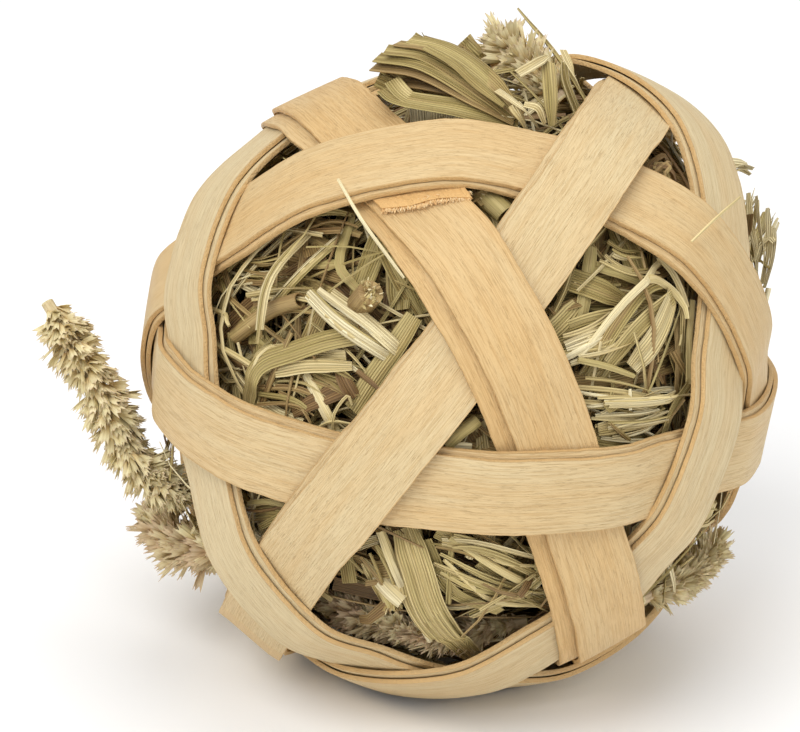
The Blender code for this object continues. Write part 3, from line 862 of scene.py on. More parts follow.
def drawStalk(bundle, kind, course, width, depth=None, turn=0.0, twist=0.0, tips=(1.0, 1.0), shade=0.5):
    # draws a template along a course; turn and twist are in degrees round the course
    template = templates[kind]
    depth = width if depth is None else depth
    points = template["points"]
    count = len(course)
    across, outward = courseFrame(course)
    place = np.clip(points[:, 0], 0, 1) * (count - 1)
    index = np.minimum(place.astype(int), count - 2)
    share = (place - index)[:, None]

    def along(values):
        return values[index] * (1 - share) + values[index + 1] * share

    rolled = np.radians(turn + twist * points[:, 0])
    sideways = points[:, 1] * np.cos(rolled) * width - points[:, 2] * np.sin(rolled) * depth
    upward = points[:, 1] * np.sin(rolled) * width + points[:, 2] * np.cos(rolled) * depth
    x = points[:, 0]
    taper = tips[0] + (1 - tips[0]) * np.minimum(1, x * stalk["rootTaper"])
    taper = taper * (tips[1] + (1 - tips[1]) * np.minimum(1, (1 - x) * stalk["endTaper"]))
    made = along(course) + along(across) * (sideways * taper)[:, None]
    made = made + along(outward) * (upward * taper)[:, None]
    own = np.full(len(x), random.uniform(0, 90))
    lay = np.stack((x * courseLength(course), template["across"] * width, own), axis=1)
    bundle.add(made, template["faces"], lay, shade)


# Hay all through the ball. mostRise is how far a stalk may rise in an opening, and flatness its depth
# as a share of its width

hayFill = {
    "core": {"count": 330, "radius": (6, 36), "length": (30, 62), "width": (3.0, 5.0), "shade": (0.05, 0.45),
             "kind": "blade", "mostRise": 0.0, "flatness": 0.5, "roll": 22, "headroom": 0.0},
    "shell": {"count": 600, "radius": (36, 43.5), "length": (20, 54), "width": (1.3, 3.5), "shade": (0.08, 0.92),
              "kind": "blade", "mostRise": 2.4, "flatness": 0.5, "roll": 22, "headroom": 4.2},
    "fibres": {"count": 1100, "radius": (38, 44.5), "length": (16, 48), "width": (0.5, 1.3), "shade": (0.15, 1.0),
               "kind": "fibre", "mostRise": 2.8, "flatness": 1.0, "roll": 22, "headroom": 4.2},
    "straws": {"count": 90, "radius": (36, 44), "length": (24, 56), "width": (0.8, 1.5), "shade": (0.2, 1.0),
               "kind": "straw", "mostRise": 2.6, "flatness": 1.0, "roll": None, "headroom": 4.2},
    "strands": {"count": 620, "radius": (38, 45.5), "length": (12, 46), "width": (0.25, 0.6), "shade": (0.3, 1.0),
                "kind": "strand", "mostRise": 3.0, "flatness": 1.0, "roll": None, "headroom": 4.2},
}
stray = {
    "steps": 12, "upright": (0.75, 1.0), "bend": (0.2, 1.5), "innermost": 25.0, "swerve": 0.006,
    "kinked": 0.25, "kink": (-0.3, 0.3), "kinkAside": 0.6, "kinkDown": (0, 0.4), "widthShare": 0.7,
    "twist": 25, "rootTip": (0.5, 1), "endTip": (0.4, 1),
}
lowHeadPlaces = ((-121, -36, -5.6), (-106, -40, -5.4), (-90, -43, -5.4), (-70, -40, -6))


def strayCourse(values, halfDepth, halfWidth):
    # a stalk that lies roughly level with the ball's surface, bent a little and tucked under the strips
    direction = unit(random.normal(size=3))
    radius = random.uniform(*values["radius"])
    length = random.uniform(*values["length"])
    heading = random.normal(size=3)
    heading = unit(heading - direction * (heading @ direction) * random.uniform(*stray["upright"]))
    beside = np.cross(direction, heading)
    place = np.linspace(-length / 2, length / 2, stray["steps"])[:, None]
    bend = random.uniform(*stray["bend"]) / (2 * max(radius, stray["innermost"]))
    swerve = random.normal() * stray["swerve"]
    course = direction * radius + heading * place - direction * place ** 2 * bend + beside * place ** 2 * swerve
    if random.uniform() < stray["kinked"]:
        fold = random.uniform(*stray["kink"]) * length
        past = np.clip(place - fold, 0, None)
        away = beside * random.normal() * stray["kinkAside"]
        course = course + (away - direction * random.uniform(*stray["kinkDown"])) * past
    course = tuckCourse(course, halfDepth, halfWidth, values["mostRise"])
    course[1:-1] = (course[:-2] + course[1:-1] * 2 + course[2:]) / 4
    return tuckCourse(course, halfDepth, halfWidth, values["mostRise"])


def strayStalks(values):
    bundle = Bundle()
    lowHead = smoothCourse(spherePlaces(lowHeadPlaces), 24)
    for number in range(values["count"]):
        width = random.uniform(*values["width"])
        flat = width * values["flatness"]
        course = strayCourse(values, flat / 2, width / 2 * stray["widthShare"])
        if np.linalg.norm(course[:, None] - lowHead, axis=2).min() < values["headroom"]:
            continue
        turn = random.normal() * values["roll"] if values["roll"] else 0.0
        drawStalk(bundle, values["kind"], course, width, flat, turn, random.normal() * stray["twist"],
                  (random.uniform(*stray["rootTip"]), random.uniform(*stray["endTip"])),
                  random.uniform(*values["shade"]))
    return bundle


# the core is drawn with the hay material darkened as painted shade
strayStalks(hayFill["core"]).finish("hayDeepInside", "deep", "hay_in_shade", "hay_wad")
strayStalks(hayFill["shell"]).finish("hayLeavesInside", "blade", "hay_leaves")
strayStalks(hayFill["fibres"]).finish("hayFibresInside", "blade", "hay_leaves")
strayStalks(hayFill["straws"]).finish("hayStemsInside", "straw", "hay_stems")
strayStalks(hayFill["strands"]).finish("hayStrandsInside", "straw", "hay_stems")
print("ball filled with hay")

# Stalks that have a solid of their own: longitude, latitude and millimetres outside the weave's middle

solidStraws = {
    "thin_stem_1": (0.75, ((-143, 42, -4), (-147, 30, -1), (-146, 18, -1), (-134, 7, -4)), 0.85),
    "straw_1": (1.6, ((-136, 43, -4), (-134, 31, 0), (-130, 20, 0.8)), 0.72),
    "straw_2": (1.5, ((-124, 50, -5), (-129, 36, -2.6), (-135, 25, -3)), 0.8),
    "straw_3": (1.9, ((-124, 31, -0.5), (-113, 27, 0.6), (-98, 21, -5)), 1.0),
    "straw_4": (1.9, ((-33, 42, -5), (-37, 31, -3), (-40, 8, -5)), 0.7),
    "straw_5": (1.2, ((-63, 17, -0.8), (-54, 16, -0.4), (-44, 15, -0.8)), 0.85),
    "straw_6": (1.9, ((-64, -12, -3.4), (-72, -19, -2.2), (-86, -31, -3.6)), 0.75),
    "thin_stem_2": (0.7, ((10, 69, -4), (36, 75, 1.8), (74, 74, 8)), 0.72),
    "straw_7": (2.0, ((0, 71, -5), (14, 75, -1), (20, 76, 2)), 0.7),
}
solidStubs = {
    "stub_1": (3.9, ((-118, 29, -6.5), (-110, 34, 0.5)), 0.42),
    "stub_2": (2.8, ((-106, -20, -6.5), (-100, -26, -2.4)), 0.68),
    "stub_3": (2.8, ((-77, 53, -6), (-89, 58, -2.5)), 0.6),
}
solidBlades = {
    "leaf_blade_1": (4.2, ((-149, 25, -6), (-140, 28, -5.4), (-126, 28, -5.4)), 0.5),
    "leaf_blade_2": (3.6, ((-116, 47, -5), (-108, 41, -3), (-100, 33, -5)), 0.6),
    "leaf_blade_3": (3.6, ((-136, 11, -5), (-129, 18, -2), (-113, 22.5, -2)), 0.8),
    "leaf_blade_4": (4.2, ((-70, 8, -6.2), (-61, 23, -4.8), (-46, 32, -2.4)), 0.75),
    "leaf_blade_5": (3.6, ((-73, 43, -5), (-62, 38, -2.5), (-52, 34, -3.5)), 0.6),
    "leaf_blade_6": (5.0, ((-99, -6, -5.5), (-95, -22, -1.5), (-89, -34, -1.2), (-85, -42, -2.6)), 0.66),
    "leaf_blade_7": (3.0, ((-92, 9, -4.5), (-85, 16, -5)), 0.35),
    "leaf_blade_8": (4.0, ((-69, -17, -6.7), (-77, -17, -6.5), (-88, -12, -6.4)), 0.6),
}
looseBlades = {
    "fan_blade_1": (5.2, 65, 0.86, ((126, 82.4, -8), (-130, 80.5, -1.5), (-159, 71.6, 5)), 0.5),
    "fan_blade_2": (4.9, 65, 0.86, ((82, 79.2, -8.4), (170, 85.7, -1), (177, 77, 6)), 0.56),
    "fan_blade_3": (4.8, 65, 0.86, ((66, 73, -8.6), (94, 81.4, -1.3), (121, 80.3, 3.4)), 0.6),
    "tuft_blade_1": (4.8, 80, 0.5, ((23, 17.5, -3.6), (22.5, 19.5, 0.5), (26, 23, 5)), 0.95),
    "tuft_blade_2": (4.8, 80, 0.5, ((32, 19, -3), (31, 19.5, 1.2), (34.5, 22, 6)), 1.0),
}
farOpenings = ((105, 27), (177, 27), (51, -27), (123, -27), (0, -90))
farStalk = {"turn": 137.5, "reach": 21.0, "middle": -2.8, "end": -5.4, "parting": 0.16, "steps": 20}
farKinds = {
    "straw": {"side": -1, "width": 2.0, "flatness": 1.0, "kind": "straw", "material": "straw",
              "slot": "hay_stems", "shade": (0.5, 0.9), "tips": (1.0, 1.0)},
    "blade": {"side": 1, "width": 4.0, "flatness": 0.9, "kind": "fineBlade", "material": "blade",
              "slot": "hay_leaves", "shade": (0.4, 0.8), "tips": (0.6, 0.5)},
}
named = {
    "strawSteps": 20, "stubSteps": 12, "bladeSteps": 24, "halfDepth": 0.8, "bladeFlatness": 0.9,
    "bladeTwist": 12, "bladeTips": (0.7, 0.5), "outside": ("thin_stem_2", "straw_7"),
}
frayed = {
    "steps": 30, "flatness": 0.8, "tips": (0.8, 0.96), "overlap": 4, "setBack": 6, "shredSteps": 16,
    "spread": 0.2, "breadth": 0.9, "lift": 0.15, "curl": 1.0, "toneSpread": 0.13,
    "shreds": {"count": 9, "drift": 0.05, "reach": (0.55, 1.0), "width": (1.0, 1.6), "depth": 0.35,
               "roll": 18, "twist": 40, "tips": (1.0, 0.65)},
    "hairs": {"count": 7, "drift": 0.14, "reach": (0.7, 1.0), "width": (0.2, 0.4), "tips": (1.0, 0.3)},
}


def frayedBlade(node, places, width, turn, tornFrom, shade):
    # a broad leaf, rolled about its length, that splits into narrow shreds and hairs towards its end
    bundle = Bundle()
    steps = frayed["steps"]
    course = smoothCourse(places, steps)
    torn = round(steps * tornFrom)
    whole = course[:torn + frayed["overlap"]]
    drawStalk(bundle, "fineBlade", whole, width, width * frayed["flatness"], turn, 0, frayed["tips"], shade)
    across, outward = courseFrame(course)
    roll = math.radians(turn)
    level = across * math.cos(roll) + outward * math.sin(roll)
    upright = outward * math.cos(roll) - across * math.sin(roll)
    past = np.clip((np.arange(steps) - torn) / (steps - torn), 0, 1)[:, None]
    shreds = frayed["shreds"]["count"]
    for number in range(shreds + frayed["hairs"]["count"]):
        hair = number >= shreds
        part = frayed["hairs"] if hair else frayed["shreds"]
        place = random.uniform(-0.5, 0.5) if hair else number / (shreds - 1) - 0.5
        drift = place * frayed["spread"] + random.normal() * part["drift"]
        line = course + level * (place * frayed["breadth"] + drift * past) * width
        line = line + upright * (random.normal() * frayed["lift"] + random.normal() * frayed["curl"] * past ** 2)
        end = round(torn + (steps - torn) * random.uniform(*part["reach"]))
        line = smoothCourse(line[torn - frayed["setBack"]:end], frayed["shredSteps"])
        tone = min(1.0, max(0.0, shade + random.normal() * frayed["toneSpread"]))
        if hair:
            drawStalk(bundle, "strand", line, random.uniform(*part["width"]), shade=tone, tips=part["tips"])
        else:
            drawStalk(bundle, "blade", line, width / shreds * random.uniform(*part["width"]), part["depth"],
                      turn + random.normal() * part["roll"], random.normal() * part["twist"], part["tips"], tone)
    bundle.finishFor(node, "blade", "hay_leaves")


splitLook = {
    "thin": 1, "thinTips": (0.8, 0.5), "coreWidth": 0.8, "coreDepth": 0.45, "coreShade": -0.15,
    "coreTips": (0.8, 0.7), "parts": 5, "placeSpread": 0.05, "spread": 0.42, "raised": 0.2, "droop": 0.3,
    "lift": 0.12, "partSteps": 14, "width": (0.3, 0.55), "depth": 0.5, "turn": 15, "tips": (0.9, 0.6),
    "shade": 0.14,
}


def splitStraw(node, course, width, shade):
    # a flattened straw that has split lengthwise into a few parts of uneven length
    look = splitLook
    bundle = Bundle()
    if width < look["thin"]:
        drawStalk(bundle, "strand", course, width, shade=shade, tips=look["thinTips"])
    else:
        across, outward = courseFrame(course)
        drawStalk(bundle, "straw", course[:-1], width * look["coreWidth"], width * look["coreDepth"],
                  shade=shade + look["coreShade"], tips=look["coreTips"])
        for number in range(look["parts"]):
            place = (number + 0.5) / look["parts"] - 0.5 + random.normal() * look["placeSpread"]
            line = course + across * (place * 2 * look["spread"] * width)
            raised = width * (look["raised"] - abs(place) * look["droop"])
            line = line + outward * (raised + random.normal() * look["lift"])
            line = line[random.integers(0, 2):len(line) - random.integers(0, 3)]
            drawStalk(bundle, "fibre", smoothCourse(line, look["partSteps"]),
                      width * random.uniform(*look["width"]), look["depth"], random.normal() * look["turn"],
                      random.normal() * look["turn"], look["tips"], shade + random.normal() * look["shade"])
    bundle.finishFor(node, "blade", "hay_stems")


stubEnd = {"fibres": 120, "length": (0.4, 1.5), "width": (0.16, 0.5), "shade": (0.2, 0.95), "splay": 0.7,
           "sunk": (0.2, 1.2), "scatter": 0.25, "tips": (1.0, 0.4)}


def brokenStub(node, course, width, shade):
    # a short thick stem with torn fibres and pith standing in its broken end
    bundle = Bundle()
    drawStalk(bundle, "pithy", course, width, width, shade=shade)
    across, outward = courseFrame(course)
    ahead = unit(course[-1] - course[-2])
    for number in range(stubEnd["fibres"]):
        turn = random.uniform(0, math.tau)
        away = across[-1] * math.cos(turn) + outward[-1] * math.sin(turn)
        start = course[-1] + away * width / 2 * random.uniform(0.0, 1.0) - ahead * random.uniform(*stubEnd["sunk"])
        scatter = ahead + away * random.normal() * stubEnd["splay"]
        lean = unit(scatter + random.normal(size=3) * stubEnd["scatter"])
        line = smoothCourse((start, start + lean * random.uniform(*stubEnd["length"])), 4)
        drawStalk(bundle, "hair", line, random.uniform(*stubEnd["width"]), tips=stubEnd["tips"],
                  shade=random.uniform(*stubEnd["shade"]))
    bundle.finishFor(node, "straw", "hay_stems")


def farStalks(number, longitude, latitude):
    # a straw and a leaf side by side across an opening of the far side
    middle = onSphere(longitude, latitude)
    east = onSphere(longitude + 90.0, 0.0)
    north = np.cross(middle, east)
    turned = math.radians(farStalk["turn"] * (number - 1))
    along = east * math.cos(turned) + north * math.sin(turned)
    beside = np.cross(middle, along)
    reach = math.tan(math.radians(farStalk["reach"]))
    for name, values in farKinds.items():
        crest = middle + beside * values["side"] * farStalk["parting"]
        ends = [unit(crest + along * reach * sign) * (weave["radius"] + farStalk["end"]) for sign in (-1, 1)]
        top = unit(crest) * (weave["radius"] + farStalk["middle"])
        width = values["width"]
        course = smoothCourse((ends[0], top, ends[1]), farStalk["steps"])
        course = tuckCourse(course, named["halfDepth"], width / 2)
        bundle = Bundle()
        drawStalk(bundle, values["kind"], course, width, width * values["flatness"], tips=values["tips"],
                  shade=random.uniform(*values["shade"]))
        bundle.finishFor(f"far_{name}_{number}", values["material"], values["slot"])


def layNamedStalks():
    for node, (width, places, shade) in solidStraws.items():
        course = smoothCourse(spherePlaces(places), named["strawSteps"])
        if node not in named["outside"]:
            course = tuckCourse(course, width / 2, width / 2)
        splitStraw(node, course, width, shade)
    for node, (width, places, shade) in solidStubs.items():
        brokenStub(node, smoothCourse(spherePlaces(places), named["stubSteps"]), width, shade)
    for node, (width, places, shade) in solidBlades.items():
        course = smoothCourse(spherePlaces(places), named["bladeSteps"])
        course = tuckCourse(course, named["halfDepth"], width / 2)
        bundle = Bundle()
        drawStalk(bundle, "fineBlade", course, width, width * named["bladeFlatness"],
                  twist=random.normal() * named["bladeTwist"], tips=named["bladeTips"], shade=shade)
        bundle.finishFor(node, "blade", "hay_leaves")
    for node, (width, turn, tornFrom, places, shade) in looseBlades.items():
        frayedBlade(node, spherePlaces(places), width, turn, tornFrom, shade)
    for number, (longitude, latitude) in enumerate(farOpenings, 1):
        farStalks(number, longitude, latitude)


layNamedStalks()
print("named stalks laid")

# Seed heads: girth, way the husks point along the places, share of purple, and the places

seedHeads = {
    "seed_head_left": (10.4, 1, 0.08, ((-178, 5.0, 16), (-173.5, -1, 10.6), (-171.2, -9, 6.8),
                                      (-167.6, -18, 3.6), (-163, -25, -1.6))),
    "seed_head_low_left": (12.0, -1, 0.55, ((-177, -30, 5.8), (-169, -35.2, 2.9), (-159.5, -38, -3.4))),
    "seed_head_top": (11.0, -1, 0.12, ((86, 77, 4), (48, 78, -0.5), (20, 75, -3.5))),
    "seed_head_right": (7.4, -1, 0.15, ((-6, -30, 1.8), (-13, -36, 0.6), (-25, -41, -2.6))),
    "seed_head_low": (6.0, -1, 0.6, lowHeadPlaces),
}
florets = {
    "steps": 40, "stem": 2.0, "stemBeyond": 1.4, "stemSteps": 20, "perMillimetre": 5.4, "husks": 4,
    "whorl": 7, "whorlGap": 0.55, "golden": 2.39996, "clump": 4.6, "leastFull": 0.72, "clumpFull": 0.36,
    "around": 0.25, "splay": (16, 76), "scatter": 0.1, "rootOut": (0.05, 0.42), "length": (2.0, 4.6),
    "leastSpare": 0.4, "leastSplay": 0.25, "overLength": 1.1, "roll": 0.3, "width": (0.8, 2.0),
    "awn": (0.6, 2.0), "awnShare": 0.7, "awnRoot": 0.8, "awnWidth": 0.12, "tips": (1.0, 0.3),
}


def drawHusk(bundle, centre, ring, ahead, full, own, colour):
    # one husk beside the stem; gives its root, its direction and its length
    points = templates["bract"]["points"]
    splay = math.radians(random.uniform(*florets["splay"]))
    axis = unit(ahead * math.cos(splay) + ring * math.sin(splay) + random.normal(size=3) * florets["scatter"])
    start = centre + ring * full * random.uniform(*florets["rootOut"])
    spare = max(florets["leastSpare"], full - np.linalg.norm(start - centre))
    spare = spare / max(florets["leastSplay"], math.sin(splay)) * florets["overLength"]
    size = min(random.uniform(*florets["length"]), spare)
    side = unit(np.cross(axis, ring + 0.01) + random.normal(size=3) * florets["roll"])
    side = unit(side - axis * (side @ axis))
    other = np.cross(axis, side)
    width = random.uniform(*florets["width"]) * min(1.0, 0.4 + size / 3)
    made = start + points[:, :1] * axis * size + points[:, 1:2] * side * width + points[:, 2:3] * other * width
    lay = np.stack((points[:, 0], points[:, 1] * width, np.full(len(points), own)), axis=1)
    bundle.add(made, templates["bract"]["faces"], lay, colour)
    return start, axis, size


def makeSeedHead(node, girth, way, purple, places):
    # spikelets set round the stem in a spiral, each a tuft of a few husks with an awn
    bundle = Bundle()
    course = smoothCourse(spherePlaces(places), florets["steps"])
    if way < 0:
        course = course[::-1]
    length = courseLength(course)
    across, outward = courseFrame(course)
    ahead = unit(np.gradient(course, axis=0))
    beyond = course[:1] - ahead[:1] * florets["stemBeyond"]
    stem = smoothCourse(np.vstack((beyond, course[::6])), florets["stemSteps"])
    drawStalk(bundle, "straw", stem, florets["stem"], shade=0.0, tips=florets["tips"])
    spikelets = round(length * florets["perMillimetre"])
    for number in range(spikelets):
        rank = number - number % florets["whorl"] * florets["whorlGap"]
        share = 0.02 + 0.95 * (rank + random.uniform(-0.5, 0.5)) / spikelets
        place = min(max(int(share * (florets["steps"] - 1)), 0), florets["steps"] - 2)
        fullness = min(1.0, 0.4 + share * 5, 0.25 + (1 - share) * 4.5)
        clump = abs(math.sin(share * length / florets["clump"] + girth + 0.5 * math.sin(number)))
        fullness *= florets["leastFull"] + florets["clumpFull"] * clump
        colour = purple * random.uniform(0, 1)
        for husk in range(florets["husks"]):
            around = number * florets["golden"] + random.normal() * florets["around"]
            ring = across[place] * math.cos(around) + outward[place] * math.sin(around)
            start, axis, size = drawHusk(bundle, course[place], ring, ahead[place], girth * 0.5 * fullness,
                                         number * 1.7 + husk, colour)
            if husk < 1:
                tip = start + axis * size * florets["awnRoot"]
                reach = random.uniform(*florets["awn"]) * fullness * florets["awnShare"]
                drawStalk(bundle, "hair", smoothCourse((tip, tip + axis * reach), 3), florets["awnWidth"],
                          shade=colour * 0.5, tips=florets["tips"])
    bundle.finishFor(node, "head", "hay_seed_heads", "Husks")


for node, (girth, way, purple, places) in seedHeads.items():
    makeSeedHead(node, girth, way, purple, places)
print("seed heads made")

# Hay that shows in the openings of the front: kind, width, shade, and pixels of the photograph with
# the millimetres outside the weave's middle
frontHay = (
    # upper left opening
    ("strand", 0.5, 0.85, ((338, 179, 3.4), (361, 219, 2.4), (387, 255, 1.4), (404, 278, 0.4))),
    ("fibre", 1.4, 0.6, ((307, 265, -3.6), (339, 263, -3.4))),
    ("fibre", 1.4, 0.62, ((352, 217, -4), (339, 263, -3.2), (357, 289, -3.6))),
    ("fineBlade", 2.3, 0.56, ((226, 265, -4.5), (277, 285, -3.6), (329, 300, -3.4))),
    ("fineBlade", 2.6, 0.45, ((280, 272, -4.6), (348, 305, -4.4))),
    ("fineBlade", 3.6, 0.55, ((380, 238, -4.6), (358, 296, -4.2))),
    ("fineBlade", 3.8, 0.6, ((398, 245, -4.8), (400, 310, -4.2))),
    ("fibre", 1.1, 0.98, ((318, 290, -1.4), (345, 310, -0.4), (372, 330, -0.6), (404, 358, -2.6))),
    ("fineBlade", 2.0, 0.88, ((330, 294, -2.2), (360, 316, -1.2), (392, 344, -1.2), (410, 362, -3))),
    ("fineBlade", 1.6, 0.85, ((318, 306, -2.6), (361, 330, -2.2), (396, 352, -3))),
    ("fineBlade", 3.1, 0.62, ((414, 316, -1.8), (393, 349, -2.0), (371, 380, -3.0), (352, 410, -4))),
    ("fineBlade", 2.9, 0.78, ((248, 410, -4), (250, 382, -1.6), (262, 363, -1), (292, 352, -0.6),
                              (325, 341, -0.8), (357, 335, -1.6))),
    ("fineBlade", 2.0, 0.84, ((275, 372, -1.8), (307, 366, -1.4), (352, 366, -2))),
    ("strand", 0.6, 0.8, ((252, 372, -1.5), (258, 356, -0.8), (271, 346, -1), (279, 354, -1.6))),
    ("fineBlade", 2.7, 0.5, ((322, 312, -3.2), (307, 346, -3.0), (302, 372, -4))),
    ("hollow", 2.4, 0.4, ((236, 336, -4.6), (271, 310, -3.2), (300, 300, -2.4))),
    ("fineBlade", 2.0, 0.6, ((232, 336, -4.4), (265, 302, -3.8), (298, 296, -3.6))),
    ("fibre", 1.6, 0.82, ((305, 374, -3.2), (323, 408, -2.4), (338, 436, -4.0))),
    ("strand", 1.0, 0.7, ((211, 342, -3), (250, 365, -2.8), (284, 392, -3.4))),
    ("fibre", 1.5, 0.42, ((286, 224, -4.4), (343, 253, -4.2))),
    ("fibre", 1.6, 0.36, ((262, 232, -4.8), (330, 268, -4.6))),
    ("fibre", 1.4, 0.3, ((297, 213, -4.2), (361, 235, -4.2))),
    ("fibre", 1.5, 0.5, ((311, 204, -4), (356, 214, -4))),
    ("fineBlade", 2.2, 0.22, ((339, 369, -3), (346, 384, -2.8), (354, 398, -3.4))),
    ("strand", 0.9, 0.3, ((357, 371, -2.8), (379, 389, -3))),
    ("fineBlade", 1.8, 0.6, ((314, 376, -3.4), (345, 386, -3.4), (377, 394, -4))),
    ("strand", 0.5, 0.8, ((333, 436, -3.6), (334, 414, -2.2), (347, 396, -2.4), (352, 405, -3))),
    ("strand", 0.5, 0.75, ((310, 433, -3.6), (330, 422, -2.6), (352, 424, -3.4))),
    ("fibre", 1.3, 0.68, ((236, 246, -4), (223, 300, -4.4), (219, 330, -5))),
    ("fineBlade", 2.6, 0.34, ((212, 300, -5), (244, 262, -5))),
    ("strand", 0.8, 0.7, ((206, 306, -3), (222, 315, -1.6), (229, 326, -1.8))),
    # right opening
    ("fineBlade", 5.4, 0.52, ((556, 293, -5), (616, 292, -4.6), (672, 296, -5))),
    ("fineBlade", 4.0, 0.58, ((616, 228, -4.6), (630, 252, -4), (640, 276, -4))),
    ("fibre", 1.7, 0.66, ((596, 266, -3.2), (622, 273, -2.6), (648, 284, -2.8))),
    ("fibre", 2.0, 0.62, ((592, 247, -3.4), (587, 284, -3), (580, 321, -3.6))),
    ("fineBlade", 3.0, 0.66, ((577, 306, -3.4), (560, 324, -2.8), (545, 338, -3.6))),
    ("fineBlade", 2.4, 0.6, ((558, 333, -3.4), (588, 322, -2.8), (618, 315, -2.8))),
    ("fineBlade", 2.2, 0.64, ((556, 347, -3.2), (590, 335, -2.6), (622, 322, -2.6))),
    ("strand", 1.0, 1.0, ((556, 363, -2.4), (582, 349, -2), (611, 332, -2.2))),
    ("fibre", 1.1, 0.8, ((580, 358, -2), (621, 306, -0.8), (650, 278, 0.4), (680, 249, 0.6))),
    ("fineBlade", 2.2, 0.55, ((597, 358, -2.2), (622, 318, -1.4), (646, 288, -1.2), (667, 281, -1.8))),
    ("fineBlade", 2.4, 0.72, ((608, 364, -2.2), (641, 325, -1.4), (674, 296, -1.4))),
    ("fineBlade", 3.5, 0.85, ((632, 368, -2.6), (652, 343, -1.6), (664, 320, -1.2), (676, 288, -1.8))),
    ("fibre", 1.7, 0.66, ((695, 300, -2.4), (694, 340, -2), (690, 384, -2.6))),
    ("fineBlade", 2.4, 0.4, ((678, 318, -4), (679, 360, -3.8), (676, 404, -4.2))),
    ("fibre", 1.2, 0.5, ((704, 372, -2.4), (694, 402, -2.4), (684, 431, -3.4))),
    ("fineBlade", 2.0, 0.7, ((697, 380, -1.8), (680, 409, -1.4), (660, 442, -2.8))),
    ("strand", 1.0, 0.55, ((578, 360, -1.6), (606, 366, -1.2), (634, 376, -1.8))),
    ("strand", 0.5, 0.95, ((572, 391, -1.6), (600, 396, -1.2), (628, 400, -1))),
    ("strand", 0.5, 0.8, ((612, 401, -1), (660, 398, -0.4), (711, 396, 0))),
    ("strand", 0.6, 1.0, ((630, 389, -1), (630, 410, -1.2))),
    ("fineBlade", 2.3, 0.74, ((598, 430, -2.6), (630, 423, -2.2), (660, 417, -2.6))),
    ("fineBlade", 2.8, 0.6, ((584, 436, -3.4), (612, 441, -3), (640, 444, -3.6))),
    ("strand", 1.4, 0.72, ((648, 279, -0.6), (668, 278, 0.2), (686, 290, -0.6), (688, 318, -1.6))),
    ("strand", 1.2, 0.78, ((668, 251, -0.4), (684, 262, 0.2), (690, 284, -0.8), (692, 306, -1.8))),
    ("strand", 0.4, 0.72, ((691, 242, 2.6), (716, 218, 4), (740, 197, 5.4))),
    # curled brown fibres under the right top crossing
    ("strand", 0.8, 0.3, ((648, 176, -2), (656, 158, -0.4), (668, 150, -0.6), (678, 158, -1.5))),
    ("strand", 0.7, 0.34, ((650, 180, -2), (662, 166, -0.4), (674, 160, -0.5), (680, 172, -1.5))),
    ("strand", 0.6, 0.42, ((654, 170, -1.6), (664, 156, 0), (672, 164, 0), (664, 176, -1), (672, 182, -2))),
    ("strand", 0.7, 0.26, ((644, 168, -2.4), (658, 164, -1), (670, 170, -0.8), (678, 180, -2))),
    # gap above the crossing of the first two strips
    ("hollow", 3.2, 0.66, ((474, 190, -4.8), (492, 202, -3.2), (506, 214, -2.6))),
    ("fineBlade", 3.4, 0.5, ((455, 184, -4.4), (476, 206, -4.4), (492, 226, -5))),
    ("strand", 0.9, 0.7, ((470, 206, -3), (484, 222, -3), (500, 232, -4))),
    # small gap in the middle
    ("hollow", 2.0, 0.66, ((447, 445, -2.6), (462, 432, -1.8), (477, 420, -2.6))),
    ("strand", 0.9, 0.95, ((453, 446, -2), (472, 447, -2.2))),
    ("fineBlade", 3.0, 0.36, ((456, 410, -4.6), (474, 440, -4.2))),
    # lower opening
    ("fineBlade", 4.6, 0.7, ((404, 528, -4), (416, 566, -1.6), (434, 616, -1), (474, 664, -1.6))),
    ("fineBlade", 2.8, 0.6, ((436, 532, -3.4), (484, 552, -2.8), (534, 578, -3.4))),
    ("fineBlade", 2.4, 0.66, ((424, 540, -3.6), (450, 590, -2.6), (500, 612, -3.2))),
    ("straw", 1.6, 0.78, ((380, 530, -3.4), (400, 580, -2.6), (430, 640, -3.6))),
    ("straw", 1.3, 0.7, ((450, 536, -3), (500, 570, -2.4), (540, 590, -3.2))),
    ("strand", 0.8, 0.8, ((444, 560, -2.6), (490, 600, -2), (540, 606, -2.8))),
    ("strand", 0.8, 0.72, ((440, 572, -2.8), (476, 590, -2.2), (530, 596, -2.8))),
    ("strand", 0.7, 0.85, ((470, 540, -2.4), (500, 562, -2), (536, 566, -2.8))),
    ("hollow", 2.9, 0.92, ((376, 572, -5), (392, 590, -2.8), (404, 600, -2))),
    ("fineBlade", 3.0, 0.46, ((350, 560, -4.2), (380, 570, -3.6), (410, 560, -4.4))),
    ("fineBlade", 2.6, 0.5, ((247, 516, -4), (270, 512, -3.2), (292, 516, -4))),
    ("strand", 1.0, 0.66, ((248, 504, -3), (268, 502, -2.6), (292, 508, -3.2))),
)
